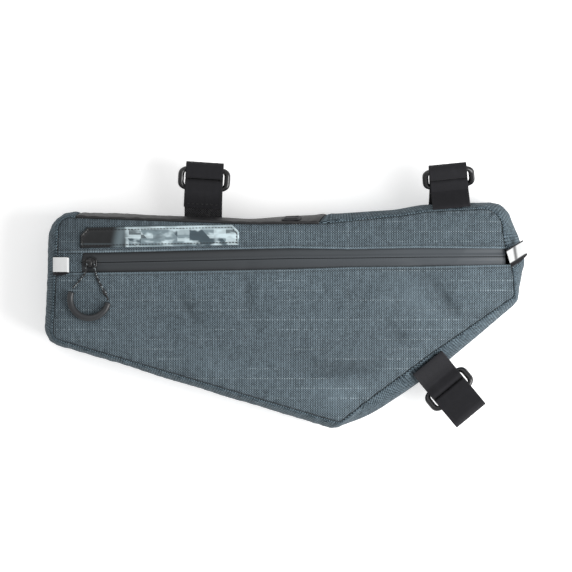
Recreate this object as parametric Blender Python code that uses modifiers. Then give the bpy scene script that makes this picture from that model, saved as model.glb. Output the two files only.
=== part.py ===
"""A bicycle frame bag that lies on its back panel: a hollow cloth body, a zip, straps and rings.

X runs along the bag, Y up its front as worn, and Z from the back panel to the front. Metres.
The middle of the bag's footprint, on its flat back, stands at the origin.
"""

import math
from collections import namedtuple

import bmesh
import bpy
import numpy as np
from mathutils import Vector

# Body sizes
BAG_LENGTH = 0.389
BAG_HEIGHT = 0.1835
BAG_DEPTH = 0.050  # from the floor to the front seam
CORNER_RADIUS = 0.020  # unit of the outline's roundings
SEAM_INSET = 0.006  # unit of the front seam's distance inside the outline
BACK_INSET = 0.005
FRONT_CROWN = 0.0055  # how far the front swells past its seam
CROWN_REACH = 0.028
FOLD_DEPTH = 0.0018
GUSSET_WALL = 0.0016
PANEL_WALL = 0.0014
BACK_WALL = 0.0020
GAP = 0.0003

# Zip sizes
ZIP_OPENING = 0.0168  # unit of the gap between the two hems
ZIP_HEM = 0.004  # how far a tape runs under its hem
TAPE_WALL = 0.0010
SLIDER_LENGTH = 0.0110
SLIDER_WIDTH = 0.0094
SLIDER_HEIGHT = 0.0028
BRIDGE_WIDTH = 0.0040
BRIDGE_BAR = 0.0012
GRIP_RADIUS = 0.0154
GRIP_THICKNESS = 0.0055
GRIP_START = -10.0  # degrees round the grip's circle
GRIP_END = 157.0
CORD_DIAMETER = 0.0016
BRIDGE_CLEAR = CORD_DIAMETER + 4 * GAP  # the free height under the slider's bridge

# Label, port and tab sizes
LABEL_HEIGHT = 0.0165
LABEL_WALL = 0.0014
LABEL_CHAMFER = 0.0058
PORT_LENGTH = 0.0165
PORT_WALL = 0.0016
TAB_WIDTH = 0.0126
TAB_WALL = 0.0010

# Strap and ring sizes
STRAP_WIDTH = 0.0310
STRAP_WALL = 0.0016
RING_BAR = 0.0044
RING_LENGTH = 0.0428
RING_HEIGHT = 0.0194
RING_ROUND = 0.0046
TAB_RETURN = 0.0070  # the end of a ring tab that runs back under the bar

# Steps along the walls
ARC_STEPS = 4
EDGE_STEP = 0.024
DEPTH_STEPS = 6
PANEL_STEPS = 34
SEGMENTS = 2 * 16

Corner = namedtuple("Corner", "name along up rounding seam_in seam_up seam_rounding")
# Shares of the length and height, of the corner radius, and of the seam inset, anticlockwise.
CORNERS = (
    Corner("low_left", -0.0010, 0.384, 0.88, 1.00, 0.23, 0.45),
    Corner("bottom", 0.6020, -0.005, 0.60, 0.93, 0.62, 0.33),
    Corner("belly_low", 0.6833, 0.060, 6.00, -0.98, 1.32, 3.00),
    Corner("belly_high", 0.8250, 0.267, 7.50, -1.15, 1.65, 7.50),
    Corner("low_right", 0.9875, 0.556, 0.50, -0.27, 0.69, 0.30),
    Corner("mid_right", 1.0020, 0.733, 0.60, -1.48, -1.22, 0.50),
    Corner("shoulder", 0.9890, 0.850, 1.50, -1.90, -0.27, 1.50),
    Corner("top_right", 0.9615, 0.997, 0.85, -0.40, -0.53, 0.90),
    Corner("step_right", 0.7875, 0.986, 3.00, 0.82, -0.70, 3.00),
    Corner("step_left", 0.7310, 0.965, 3.00, 0.95, -0.60, 3.00),
    Corner("top_middle", 0.5960, 0.948, 9.00, -0.68, -1.15, 3.00),
    Corner("top_dip", 0.4230, 0.924, 9.00, 0.40, -0.47, 9.00),
    Corner("top_left", 0.0115, 0.957, 1.10, 1.08, -0.53, 0.55),
)
LAPS = 2 * len(CORNERS)  # places once round an outline


def place_of(name, share):
    """The place at a share of a corner's rounding, or past 1 along the edge after it."""
    return 2 * [corner.name for corner in CORNERS].index(name) + share


COATED_START = place_of("top_middle", 1.04)
COATED_END = place_of("top_left", -0.03)
LEFT_EDGE = place_of("top_left", 1), LAPS
RIGHT_EDGE = place_of("mid_right", 1), place_of("top_right", 0)

Fold = namedtuple("Fold", "along up length width angle depth")
# Ridges and dents of the front: shares of the length, the height and the fold depth.
FOLDS = (
    Fold(0.305, 0.530, 0.045, 0.020, -55, -1.0),
    Fold(0.828, 0.585, 0.075, 0.020, -51, -1.1),
    Fold(0.765, 0.590, 0.085, 0.034, -46, 0.7),
    Fold(0.620, 0.262, 0.085, 0.022, 4, -1.0),
    Fold(0.605, 0.140, 0.060, 0.032, 0, 0.9),
    Fold(0.738, 0.420, 0.035, 0.018, -40, -0.7),
    Fold(0.423, 0.610, 0.055, 0.016, 88, -0.5),
    Fold(0.095, 0.400, 0.060, 0.030, -14, 0.6),
    Fold(0.383, 0.250, 0.110, 0.028, -17, 0.5),
)

ZipRow = namedtuple("ZipRow", "along up half")
# The zip's middle line and half width: shares of the length, the height and the zip opening.
ZIP_ROWS = (
    ZipRow(0.000, 0.727, 0.47),
    ZipRow(0.117, 0.730, 0.47),
    ZipRow(0.388, 0.742, 0.50),
    ZipRow(0.513, 0.748, 0.50),
    ZipRow(0.638, 0.750, 0.42),
    ZipRow(0.783, 0.754, 0.44),
    ZipRow(1.000, 0.757, 0.36),
)
SLIDER_ALONG = 0.0975
LABEL_ALONG = (0.077, 0.407)
LABEL_UP = 0.840
PORT_ALONG = 0.524
PORT_DEPTH = (0.80, 0.96)

Strap = namedtuple("Strap", "name place turn base lift length slit root_skew tail_out tail_high")
# Place on the outline, turn from its normal and lift in degrees, base as a share of the depth.
# Then metres: the length and the slit from the outline, the back layer's sideways start, and the
# tail's start from the outline and over the front seam, or None where it is sewn to the strap.
STRAPS = (
    Strap("top_left", place_of("top_dip", 1.215), -1.5, 0.54, 4.0, 0.0435, 0.0306, 0.0012, 0.0070, None),
    Strap("top_right", place_of("top_right", 1.630), 4.0, 0.56, 36.0, 0.0390, 0.0274, -0.0026, -0.0055, 0.0024),
    Strap("bottom", place_of("belly_high", 0.128), 4.4, 0.46, 14.0, 0.0472, 0.0194, 0.0, -0.0105, 0.0012),
)

TabLoop = namedtuple("TabLoop", "name aim lean tilt back shift reach bend drop")
# The folded loops at the zip's ends: degrees of the run, of its edges and of their tilt to the
# front. Then metres: back over the seam, up from the zip's middle, reach, bend and tip's drop.
TABS = (
    TabLoop("left", 0.0, 0.0, 0.0, 0.0028, -0.0012, 0.0125, 0.0012, 0.0),
    TabLoop("right", 32.0, 16.0, 14.0, 0.0, -0.0008, 0.0160, 0.0028, 0.007),
)

CordPoint = namedtuple("CordPoint", "right up grip slider")
# The pull cord's route in metres from the slider's middle. It lies on the cloth, and the last
# two columns say how much of its height it takes from the grip's middle or the slider's bridge.
CORD_ROUTE = (
    CordPoint(-0.01390, -0.02060, 1.0, 0.0),
    CordPoint(-0.01100, -0.01720, 0.3, 0.0),
    CordPoint(-0.00740, -0.01300, 0.0, 0.0),
    CordPoint(-0.00430, -0.00870, 0.0, 0.3),
    CordPoint(-0.00330, -0.00500, 0.0, 1.0),
    CordPoint(-0.00300, -0.00240, 0.0, 1.0),
    CordPoint(-0.00180, -0.00040, 0.0, 1.0),
    CordPoint(0.00020, 0.00040, 0.0, 1.0),
    CordPoint(0.00220, -0.00040, 0.0, 1.0),
    CordPoint(0.00340, -0.00240, 0.0, 1.0),
    CordPoint(0.00370, -0.00500, 0.0, 1.0),
    CordPoint(0.00460, -0.00870, 0.0, 0.3),
    CordPoint(0.00690, -0.01480, 0.0, 0.0),
    CordPoint(0.01020, -0.02120, 0.0, 0.0),
    CordPoint(0.01330, -0.02720, 0.4, 0.0),
    CordPoint(0.01460, -0.03030, 1.0, 0.0),
)
GRIP_CENTRE = (-0.0006, -0.0292)  # from the slider's middle

CLOTH_GREY = (0.115, 0.145, 0.168, 1.0)
COATED_BLACK = (0.030, 0.031, 0.034, 1.0)
WEBBING_BLACK = (0.022, 0.022, 0.024, 1.0)
RUBBER_GREY = (0.055, 0.060, 0.064, 1.0)
LABEL_DARK = (0.040, 0.045, 0.050, 1.0)
METAL_BLACK = (0.020, 0.020, 0.022, 1.0)
TAPE_SILVER = (0.780, 0.790, 0.790, 1.0)


def clear_scene():
    for thing in list(bpy.data.objects):
        bpy.data.objects.remove(thing)


def material(name, colour, roughness, metallic=0.0):
    """Returns the named material, made once."""
    made = bpy.data.materials.get(name)
    if made is None:
        made = bpy.data.materials.new(name)
        made.use_nodes = True
        shader = made.node_tree.nodes["Principled BSDF"]
        shader.inputs["Base Color"].default_value = colour
        shader.inputs["Roughness"].default_value = roughness
        shader.inputs["Metallic"].default_value = metallic
    return made


def flat_point(along, up):
    """A point of the bag's plane from its shares of the length and the height."""
    return np.array(((along - 0.5) * BAG_LENGTH, (up - 0.5) * BAG_HEIGHT))


def unit(vector):
    return vector / np.linalg.norm(vector)


class Loop:
    """A closed outline with rounded corners, read by place.

    Corner k is rounded from place 2k to 2k + 1, and the edge after it runs from 2k + 1 to
    2k + 2. The rounding is an exact arc, as a weighted quadratic curve.
    """

    def __init__(self, corners, radii):
        self.corners = np.array(corners)
        self.radii = np.array(radii)
        self.count = len(corners)
        before = np.roll(self.corners, 1, axis=0) - self.corners
        after = np.roll(self.corners, -1, axis=0) - self.corners
        self.to_before = before / np.linalg.norm(before, axis=1)[:, None]
        self.to_after = after / np.linalg.norm(after, axis=1)[:, None]
        cosine = (self.to_before * self.to_after).sum(1)
        half = np.arccos(np.clip(cosine, -1, 1)) / 2
        self.reach = self.radii / np.tan(half)
        self.weight = np.sin(half)

    def at(self, place):
        place = place % (2 * self.count)
        corner = int(place // 2)
        share = place - 2 * corner
        arrive = self.corners[corner] + self.to_before[corner] * self.reach[corner]
        leave = self.corners[corner] + self.to_after[corner] * self.reach[corner]
        if share > 1:
            following = (corner + 1) % self.count
            end = self.corners[following] + self.to_before[following] * self.reach[following]
            return leave + (end - leave) * (share - 1)
        parts = np.array(((1 - share) ** 2, 2 * share * (1 - share) * self.weight[corner], share**2))
        points = np.stack((arrive, self.corners[corner], leave))
        return (parts[:, None] * points).sum(0) / parts.sum()

    def inside(self, distance):
        """The same outline moved inwards by a distance."""
        along = self.to_after
        normal = np.stack((-along[:, 1], along[:, 0]), axis=1)
        other = np.roll(normal, 1, axis=0)
        shift = (normal + other) / (1 + (normal * other).sum(1))[:, None]
        turn = self.to_after[:, 0] * self.to_before[:, 1] - self.to_after[:, 1] * self.to_before[:, 0]
        rounder = np.where(turn > 0, self.radii - distance, self.radii + distance)
        return Loop(self.corners + shift * distance, np.maximum(rounder, distance / 2))

    def places(self, start, end):
        """Places from start to end, in steps that suit arcs and edges."""
        stops = [start]
        for whole in range(math.floor(start) + 1, math.ceil(end)):
            stops.append(float(whole))
        stops.append(end)
        found = []
        for low, high in zip(stops[:-1], stops[1:]):
            steps = ARC_STEPS
            length = np.linalg.norm(self.at(high - 1e-6) - self.at(low))
            if math.floor(low) % 2:
                steps = max(1, round(length / EDGE_STEP))
            elif length < EDGE_STEP / 3:
                steps = 2
            found.extend(low + (high - low) * i / steps for i in range(steps))
        return found + [end]

    def trimmed(self, start, end, distance):
        """The two places moved towards each other by a distance along the outline."""
        speed = [np.linalg.norm(self.at(p + 0.01) - self.at(p - 0.01)) / 0.02 for p in (start, end)]
        return start + distance / speed[0], end - distance / speed[1]

    def line(self, start, end, count):
        """count + 1 points evenly spaced along the outline between two places, either way round."""
        fine = np.linspace(start, end, 400)
        points = np.array([self.at(p) for p in fine])
        return evenly(points, count)


def evenly(points, count):
    """count + 1 points evenly spaced along a line of points."""
    gone = np.concatenate(([0], np.cumsum(np.linalg.norm(np.diff(points, axis=0), axis=1))))
    marks = np.linspace(0, gone[-1], count + 1)
    return np.stack([np.interp(marks, gone, points[:, k]) for k in range(points.shape[1])], axis=1)


def smooth_line(points, count):
    """count + 1 points on a smooth curve through the points (Catmull-Rom, one piece a gap)."""
    points = np.array(points, float)
    slopes = np.gradient(points, axis=0)
    fine = []
    for i in range(len(points) - 1):
        for t in np.linspace(0, 1, 24, endpoint=False):
            fine.append(
                (2 * t**3 - 3 * t**2 + 1) * points[i]
                + (t**3 - 2 * t**2 + t) * slopes[i]
                + (3 * t**2 - 2 * t**3) * points[i + 1]
                + (t**3 - t**2) * slopes[i + 1]
            )
    fine.append(points[-1])
    return evenly(np.array(fine), count)


def outline_loop():
    return Loop([flat_point(c.along, c.up) for c in CORNERS], [c.rounding * CORNER_RADIUS for c in CORNERS])


def seam_loop():
    """The front seam: the outline's corners moved in by the table's own shares."""
    corners = []
    for c in CORNERS:
        corners.append(flat_point(c.along, c.up) + np.array((c.seam_in, c.seam_up)) * SEAM_INSET)
    return Loop(corners, [c.seam_rounding * CORNER_RADIUS for c in CORNERS])


OUTLINE = outline_loop()
SEAM = seam_loop()
BACK = OUTLINE.inside(BACK_INSET)
PANEL = SEAM.inside(GUSSET_WALL + GAP)
PANEL_EDGE = PANEL.line(0, LAPS, 240)


def gusset_point(place, share):
    """A point of the gusset's outer face: share 0 is the back seam, 1 the front seam.

    The wall bows from the straight line between the seams out to the outline at mid depth.
    """
    back = BACK.at(place)
    front = SEAM.at(place)
    bow = 1 - abs(2 * share - 1) ** 2.4
    flat = back + (front - back) * share + (OUTLINE.at(place) - (back + front) / 2) * bow
    return np.array((flat[0], flat[1], share * BAG_DEPTH))


def gusset_normal(place, share):
    """The outward direction of the gusset's outer face."""
    along = gusset_point(place + 0.02, share) - gusset_point(place - 0.02, share)
    rise = gusset_point(place, min(share + 0.02, 1)) - gusset_point(place, max(share - 0.02, 0))
    return unit(np.cross(along, rise))


def distance_to_edge(flat):
    """The distance of a flat point from the front panel's edge."""
    starts = PANEL_EDGE[:-1]
    runs = PANEL_EDGE[1:] - starts
    share = ((flat - starts) * runs).sum(1) / (runs**2).sum(1)
    nearest = starts + runs * np.clip(share, 0, 1)[:, None]
    return np.linalg.norm(nearest - flat, axis=1).min()


def front_height(flat):
    """The height of the front's outer face: the seam's height, a crown and the folds."""
    swell = 1 - math.exp(-distance_to_edge(flat) / CROWN_REACH)
    height = BAG_DEPTH + FRONT_CROWN * swell
    for fold in FOLDS:
        off = flat - flat_point(fold.along, fold.up)
        angle = math.radians(fold.angle)
        lengthways = (off[0] * math.cos(angle) + off[1] * math.sin(angle)) / (fold.length * BAG_LENGTH)
        across = (off[1] * math.cos(angle) - off[0] * math.sin(angle)) / (fold.width * BAG_LENGTH)
        height += FOLD_DEPTH * fold.depth * swell * math.exp(-(lengthways**2) - across**2)
    return height


def on_front(flat, raised=0.0):
    return np.array((flat[0], flat[1], front_height(flat) + raised))


def zip_middle(x):
    """The height up the bag of the zip's middle line at x."""
    rows = [flat_point(row.along, row.up) for row in ZIP_ROWS]
    return float(np.interp(x, [r[0] for r in rows], [r[1] for r in rows]))


def zip_half(x):
    rows = [flat_point(row.along, row.up)[0] for row in ZIP_ROWS]
    return float(np.interp(x, rows, [row.half for row in ZIP_ROWS])) * ZIP_OPENING


def hem_height(x, side):
    """The hem line above (side 1) or below (side -1) the zip."""
    return zip_middle(x) + side * zip_half(x)


def edge_place(low, high, side, offset=0.0):
    """The place between low and high where the panel's edge meets a hem line."""
    for _ in range(50):
        middle = (low + high) / 2
        point = PANEL.at(middle)
        above = point[1] > hem_height(point[0], side) + offset
        start = PANEL.at(low)
        if above == (start[1] > hem_height(start[0], side) + offset):
            low = middle
        else:
            high = middle
    return (low + high) / 2


def add_object(name, mesh, finish, collection):
    thing = bpy.data.objects.new(name, mesh)
    collection.objects.link(thing)
    mesh.materials.append(finish)
    return thing


def grid_mesh(name, points):
    """An open surface on a grid of points."""
    rows, columns = points.shape[:2]
    faces = []
    for i in range(rows - 1):
        for j in range(columns - 1):
            a = i * columns + j
            faces.append((a, a + 1, a + columns + 1, a + columns))
    mesh = bpy.data.meshes.new(name)
    mesh.from_pydata(points.reshape(-1, 3).tolist(), [], faces)
    mesh.shade_smooth()
    return mesh


def add_wall(name, points, thickness, finish, collection, inwards=True):
    """A wall on a grid of points: the grid is its outer face, or its inner one."""
    thing = add_object(name, grid_mesh(name, points), finish, collection)
    solid = thing.modifiers.new("wall", "SOLIDIFY")
    solid.thickness = thickness
    solid.offset = -1.0 if inwards else 1.0
    solid.use_even_offset = True
    solid.thickness_clamp = 0.0
    return thing


def blend_patch(bottom, top, left, right):
    """Grid points between four edge lines that share their corners (a Coons patch)."""
    u = np.linspace(0, 1, len(bottom))[None, :, None]
    v = np.linspace(0, 1, len(left))[:, None, None]
    rows = (1 - v) * bottom[None] + v * top[None]
    columns = (1 - u) * left[:, None] + u * right[:, None]
    corners = (
        (1 - u) * (1 - v) * bottom[0]
        + u * (1 - v) * bottom[-1]
        + (1 - u) * v * top[0]
        + u * v * top[-1]
    )
    return rows + columns - corners


def raised_grid(flat_grid, raised=0.0):
    shape = flat_grid.shape[:2]
    points = [on_front(flat, raised) for flat in flat_grid.reshape(-1, 2)]
    return np.array(points).reshape(*shape, 3)


def hem_line(start, end, side, count):
    """Points along a hem line between two points of the panel's edge."""
    xs = np.linspace(start[0], end[0], count + 1)
    points = [(x, hem_height(x, side)) for x in xs]
    points[0] = tuple(start)
    points[-1] = tuple(end)
    return np.array(points)


def build_gusset(collection):
    """The side wall between the two seams: a grey run and the coated top section."""
    runs = (
        ("gusset", COATED_END, COATED_START + LAPS, material("cloth_grey", CLOTH_GREY, 0.85)),
        ("gusset_top", COATED_START, COATED_END, material("cloth_coated", COATED_BLACK, 0.55)),
    )
    for name, start, end, finish in runs:
        first, last = OUTLINE.trimmed(start, end, GAP / 2)
        places = OUTLINE.places(first, last)
        shares = np.linspace(0, 1, DEPTH_STEPS + 1)
        points = np.array([[gusset_point(p, s) for p in places] for s in shares])
        add_wall(name, points, GUSSET_WALL, finish, collection)


def build_back(collection):
    """The flat back panel, inside the gusset's back edge."""
    edge = BACK.inside(GUSSET_WALL + GAP)
    curve = bpy.data.curves.new("back_panel", "CURVE")
    curve.dimensions = "2D"
    curve.fill_mode = "BOTH"
    curve.extrude = BACK_WALL / 2
    places = edge.places(0, LAPS)[:-1]
    line = curve.splines.new("POLY")
    line.points.add(len(places) - 1)
    for point, place in zip(line.points, places):
        flat = edge.at(place)
        point.co = (flat[0], flat[1], 0, 1)
    line.use_cyclic_u = True
    thing = bpy.data.objects.new("back_panel", curve)
    collection.objects.link(thing)
    thing.location.z = BACK_WALL / 2
    curve.materials.append(material("cloth_back", COATED_BLACK, 0.75))


def build_front(collection):
    """The two front panels, with the zip's gap between their hems."""
    grey = material("cloth_grey", CLOTH_GREY, 0.85)
    left_low = edge_place(*LEFT_EDGE, -1)
    right_low = edge_place(*RIGHT_EDGE, -1)
    left_high = edge_place(*LEFT_EDGE, 1)
    right_high = edge_place(*RIGHT_EDGE, 1)
    low_left = place_of("low_left", 0.5)
    low_right = place_of("low_right", 0.5)
    top_left = place_of("top_left", 0.5)
    top_right = place_of("top_right", 0.5)
    lower = blend_patch(
        PANEL.line(low_left, low_right, PANEL_STEPS),
        hem_line(PANEL.at(left_low), PANEL.at(right_low), -1, PANEL_STEPS),
        PANEL.line(low_left + LAPS, left_low, 10),
        PANEL.line(low_right, right_low, 10),
    )
    add_wall("front_panel_lower", raised_grid(lower), PANEL_WALL, grey, collection)
    upper = blend_patch(
        hem_line(PANEL.at(left_high), PANEL.at(right_high), 1, PANEL_STEPS),
        PANEL.line(top_left, top_right, PANEL_STEPS),
        PANEL.line(left_high, top_left, 5),
        PANEL.line(right_high, top_right, 5),
    )
    add_wall("front_panel_upper", raised_grid(upper), PANEL_WALL, grey, collection)


def strip_between(low_line, high_line, rows):
    """Flat grid points between two lines with as many points each."""
    share = np.linspace(0, 1, rows + 1)[:, None, None]
    return low_line[None] + (high_line - low_line)[None] * share


def build_zip(collection):
    """The two tapes under the hems, meeting at the middle line, and the cloth over their left end."""
    coated = material("zip_coated", COATED_BLACK, 0.5)
    left = PANEL.at(edge_place(*LEFT_EDGE, 1))[0] + GAP + PANEL_WALL
    right = PANEL.at(edge_place(*RIGHT_EDGE, 1))[0] - GAP - PANEL_WALL
    xs = np.linspace(left, right, PANEL_STEPS + 1)
    drop = -(PANEL_WALL + GAP)
    for name, side in (("zip_tape_upper", 1), ("zip_tape_lower", -1)):
        near = np.array([(x, zip_middle(x) + side * GAP / 2) for x in xs])
        far = np.array([(x, hem_height(x, side) + side * ZIP_HEM) for x in xs])
        lines = (near, far) if side > 0 else (far, near)
        add_wall(name, raised_grid(strip_between(*lines, 2), drop), TAPE_WALL, coated, collection)
    end = flat_point(SLIDER_ALONG, 0)[0] - SLIDER_LENGTH / 2 - GAP
    rows = []
    for share in np.linspace(0, 1, 5):
        start = PANEL.at(edge_place(*LEFT_EDGE, 2 * share - 1))
        ys = [(1 - share) * (hem_height(x, -1) + GAP) + share * (hem_height(x, 1) - GAP) for x in (start[0], end)]
        rows.append([(start[0] + (end - start[0]) * t, ys[0] + (ys[1] - ys[0]) * t) for t in (0, 0.33, 0.67, 1)])
    grey = material("cloth_grey", CLOTH_GREY, 0.85)
    add_wall("zip_end", raised_grid(np.array(rows)), PANEL_WALL, grey, collection)


def tape_top(x, y):
    return front_height(np.array((x, y))) - PANEL_WALL - GAP


def add_block(size, centre):
    """A box of that size and centre as a bmesh."""
    mesh = bmesh.new()
    bmesh.ops.create_cube(mesh, size=1)
    bmesh.ops.scale(mesh, vec=size, verts=mesh.verts)
    bmesh.ops.translate(mesh, vec=centre, verts=mesh.verts)
    return mesh


def slider_place():
    """The slider's middle, on the zip tapes."""
    x = flat_point(SLIDER_ALONG, 0)[0]
    y = zip_middle(x)
    corners = [(i, j) for i in (-0.5, 0, 0.5) for j in (-0.5, 0, 0.5)]
    highest = max(tape_top(x + i * SLIDER_LENGTH, y + j * SLIDER_WIDTH) for i, j in corners)
    return x, y, highest + GAP


def build_slider(collection, cutters):
    """The slider: a rounded body with a bridge whose near foot holds the pull cord."""
    x, y, floor = slider_place()
    finish = material("metal_black", METAL_BLACK, 0.35, 0.6)
    body = add_block((SLIDER_LENGTH, SLIDER_WIDTH, SLIDER_HEIGHT), (x, y, floor + SLIDER_HEIGHT / 2))
    upright = [e for e in body.edges if abs(e.verts[0].co.z - e.verts[1].co.z) > SLIDER_HEIGHT / 2]
    bmesh.ops.bevel(body, geom=upright, offset=SLIDER_WIDTH / 4, segments=3, affect="EDGES", profile=0.5)
    mesh = bpy.data.meshes.new("zip_slider")
    body.to_mesh(mesh)
    body.free()
    slider = add_object("zip_slider", mesh, finish, collection)
    top = floor + SLIDER_HEIGHT
    foot = (BRIDGE_WIDTH, BRIDGE_BAR, BRIDGE_CLEAR + BRIDGE_BAR + GAP)
    reach = SLIDER_WIDTH / 2 - BRIDGE_BAR
    blocks = (
        add_block(foot, (x, y + reach, top + foot[2] / 2 - GAP)),
        add_block((BRIDGE_WIDTH / 2, BRIDGE_BAR * 2, foot[2]), (x, y - reach + BRIDGE_BAR, top + foot[2] / 2 - GAP)),
        add_block((BRIDGE_WIDTH / 2, 2 * reach, BRIDGE_BAR), (x, y, top + BRIDGE_CLEAR + BRIDGE_BAR / 2)),
    )
    for number, block in enumerate(blocks):
        shape = bpy.data.meshes.new("bridge")
        block.to_mesh(shape)
        block.free()
        cutter = bpy.data.objects.new(f"bridge_{number}", shape)
        cutters.objects.link(cutter)
        cutter.hide_render = True
        cutter.display_type = "WIRE"
        union = slider.modifiers.new(f"bridge_{number}", "BOOLEAN")
        union.operation = "UNION"
        union.solver = "EXACT"
        union.object = cutter


def add_tube(name, points, diameter, finish, collection, closed=False):
    """A round tube along points, as a curve with filled caps."""
    curve = bpy.data.curves.new(name, "CURVE")
    curve.dimensions = "3D"
    curve.bevel_depth = diameter / 2
    curve.bevel_resolution = 2
    curve.use_fill_caps = not closed
    line = curve.splines.new("POLY")
    line.points.add(len(points) - 1)
    for point, place in zip(line.points, points):
        point.co = (*place, 1)
    line.use_cyclic_u = closed
    thing = bpy.data.objects.new(name, curve)
    collection.objects.link(thing)
    curve.materials.append(finish)
    return thing


def build_pull(collection):
    """The moulded grip, a bent tube on the cloth, and the cord that ties it to the slider."""
    x, y, floor = slider_place()
    angles = np.radians(np.linspace(GRIP_START, GRIP_END - 360, 29))
    points = []
    for angle in angles:
        flat = np.array((x + GRIP_CENTRE[0], y + GRIP_CENTRE[1]))
        flat = flat + GRIP_RADIUS * np.array((math.cos(angle), math.sin(angle)))
        points.append(on_front(flat, GRIP_THICKNESS / 2 + GAP))
    add_tube("pull_grip", points, GRIP_THICKNESS, material("rubber_grey", RUBBER_GREY, 0.45), collection)
    route = []
    for point in CORD_ROUTE:
        flat = np.array((x + point.right, y + point.up))
        cloth = front_height(flat)
        resting = cloth + GAP + CORD_DIAMETER / 2
        height = resting + point.grip * (GRIP_THICKNESS - CORD_DIAMETER) / 2
        height += point.slider * (floor + SLIDER_HEIGHT + BRIDGE_CLEAR / 2 - resting)
        route.append((flat[0], flat[1], height))
    cord = material("cord_black", WEBBING_BLACK, 0.7)
    add_tube("pull_cord", smooth_line(route, 36), CORD_DIAMETER, cord, collection)


def build_label(collection):
    """The label: a thin chamfered plate on the upper panel."""
    left, right = (flat_point(along, 0)[0] for along in LABEL_ALONG)
    xs = [left, left + LABEL_CHAMFER / 2, left + LABEL_CHAMFER]
    xs += list(np.linspace(left + LABEL_CHAMFER, right - LABEL_CHAMFER, 17))[1:]
    xs += [right - LABEL_CHAMFER / 2, right]
    low_line = []
    high_line = []
    for x in xs:
        middle = zip_middle(x) + (LABEL_UP - ZIP_ROWS[1].up) * BAG_HEIGHT
        cut = max(0.0, LABEL_CHAMFER - min(x - left, right - x))
        low_line.append((x, middle - LABEL_HEIGHT / 2))
        high_line.append((x, middle + LABEL_HEIGHT / 2 - cut))
    flat = strip_between(np.array(low_line), np.array(high_line), 3)
    finish = material("label_dark", LABEL_DARK, 0.3)
    add_wall("label_patch", raised_grid(flat, GAP), LABEL_WALL, finish, collection, inwards=False)


def build_port(collection):
    """The cable port: a low oval hump on the coated section, with its slit closed."""
    x = flat_point(PORT_ALONG, 0)[0]
    low, high = place_of("top_middle", 1), place_of("top_dip", 0)
    for _ in range(40):
        middle = (low + high) / 2
        if OUTLINE.at(middle)[0] > x:
            low = middle
        else:
            high = middle
    reach = OUTLINE.trimmed(low, low + 1, PORT_LENGTH / 2)[0] - low
    grid = []
    for share in np.linspace(*PORT_DEPTH, 5):
        bow = math.sqrt(max(0.0, 1 - (2 * (share - PORT_DEPTH[0]) / (PORT_DEPTH[1] - PORT_DEPTH[0]) - 1) ** 4))
        row = []
        for place in np.linspace(low - reach * (0.6 + 0.4 * bow), low + reach * (0.6 + 0.4 * bow), 7):
            row.append(gusset_point(place, share) + gusset_normal(place, share) * GAP)
        grid.append(row)
    finish = material("rubber_black", WEBBING_BLACK, 0.5)
    add_wall("cable_port", np.array(grid), PORT_WALL, finish, collection, inwards=False)


def add_band(name, path, across, width, thickness, finish, collection):
    """A flat band carried along a path: a box section whose width lies along one direction."""
    path = np.array(path)
    forward = np.gradient(path, axis=0)
    normal = np.cross(across, forward)
    normal /= np.linalg.norm(normal, axis=1)[:, None]
    side = across * width / 2
    lift = normal * thickness / 2
    ring = np.stack((path - side - lift, path + side - lift, path + side + lift, path - side + lift), axis=1)
    count = len(path)
    faces = []
    for i in range(count - 1):
        for j in range(4):
            a, b = 4 * i + j, 4 * i + (j + 1) % 4
            faces.append((a, b, b + 4, a + 4))
    faces.append((3, 2, 1, 0))
    faces.append(tuple(4 * (count - 1) + j for j in range(4)))
    mesh = bpy.data.meshes.new(name)
    mesh.from_pydata(ring.reshape(-1, 3).tolist(), [], faces)
    shape = bmesh.new()
    shape.from_mesh(mesh)
    bmesh.ops.recalc_face_normals(shape, faces=shape.faces)
    shape.to_mesh(mesh)
    shape.free()
    mesh.shade_smooth()
    mesh.set_sharp_from_angle(angle=math.radians(50))
    return add_object(name, mesh, finish, collection)


def arc(centre, radius, start, end, steps):
    """Points of an arc in the plane of out and high, angles in degrees."""
    angles = np.radians(np.linspace(start, end, steps + 1))
    return [(centre[0] + radius * math.cos(a), centre[1] + radius * math.sin(a)) for a in angles]


class StrapFrame:
    """A strap's own plane: out from the outline, tipped up by its lift, and high over its back layer."""

    def __init__(self, strap):
        edge = gusset_point(strap.place, strap.base)
        normal = gusset_normal(strap.place, strap.base)
        turn = math.radians(strap.turn)
        flat = unit(normal[:2])
        self.out = np.array(
            (
                flat[0] * math.cos(turn) - flat[1] * math.sin(turn),
                flat[0] * math.sin(turn) + flat[1] * math.cos(turn),
                0.0,
            )
        )
        self.across = np.cross(self.out, (0, 0, 1))
        self.lift = math.radians(strap.lift)
        wall = np.array([gusset_point(p, strap.base) for p in strap.place + np.linspace(-1, 1, 81)]) - edge
        behind = wall[np.abs(wall @ self.across) < STRAP_WIDTH / 2]
        clear = GAP + (behind @ self.out).max() + STRAP_WALL / 2 * math.sin(self.lift)
        self.start = edge + self.out * clear

    def point(self, out, high):
        level = out * math.cos(self.lift) - high * math.sin(self.lift)
        rise = out * math.sin(self.lift) + high * math.cos(self.lift)
        return self.start + self.out * level + np.array((0, 0, rise))

    def local(self, level, height):
        """Out and high of a point given by its level distance and its true height."""
        rise = height - self.start[2]
        out = level * math.cos(self.lift) + rise * math.sin(self.lift)
        high = rise * math.cos(self.lift) - level * math.sin(self.lift)
        return out, high


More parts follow.
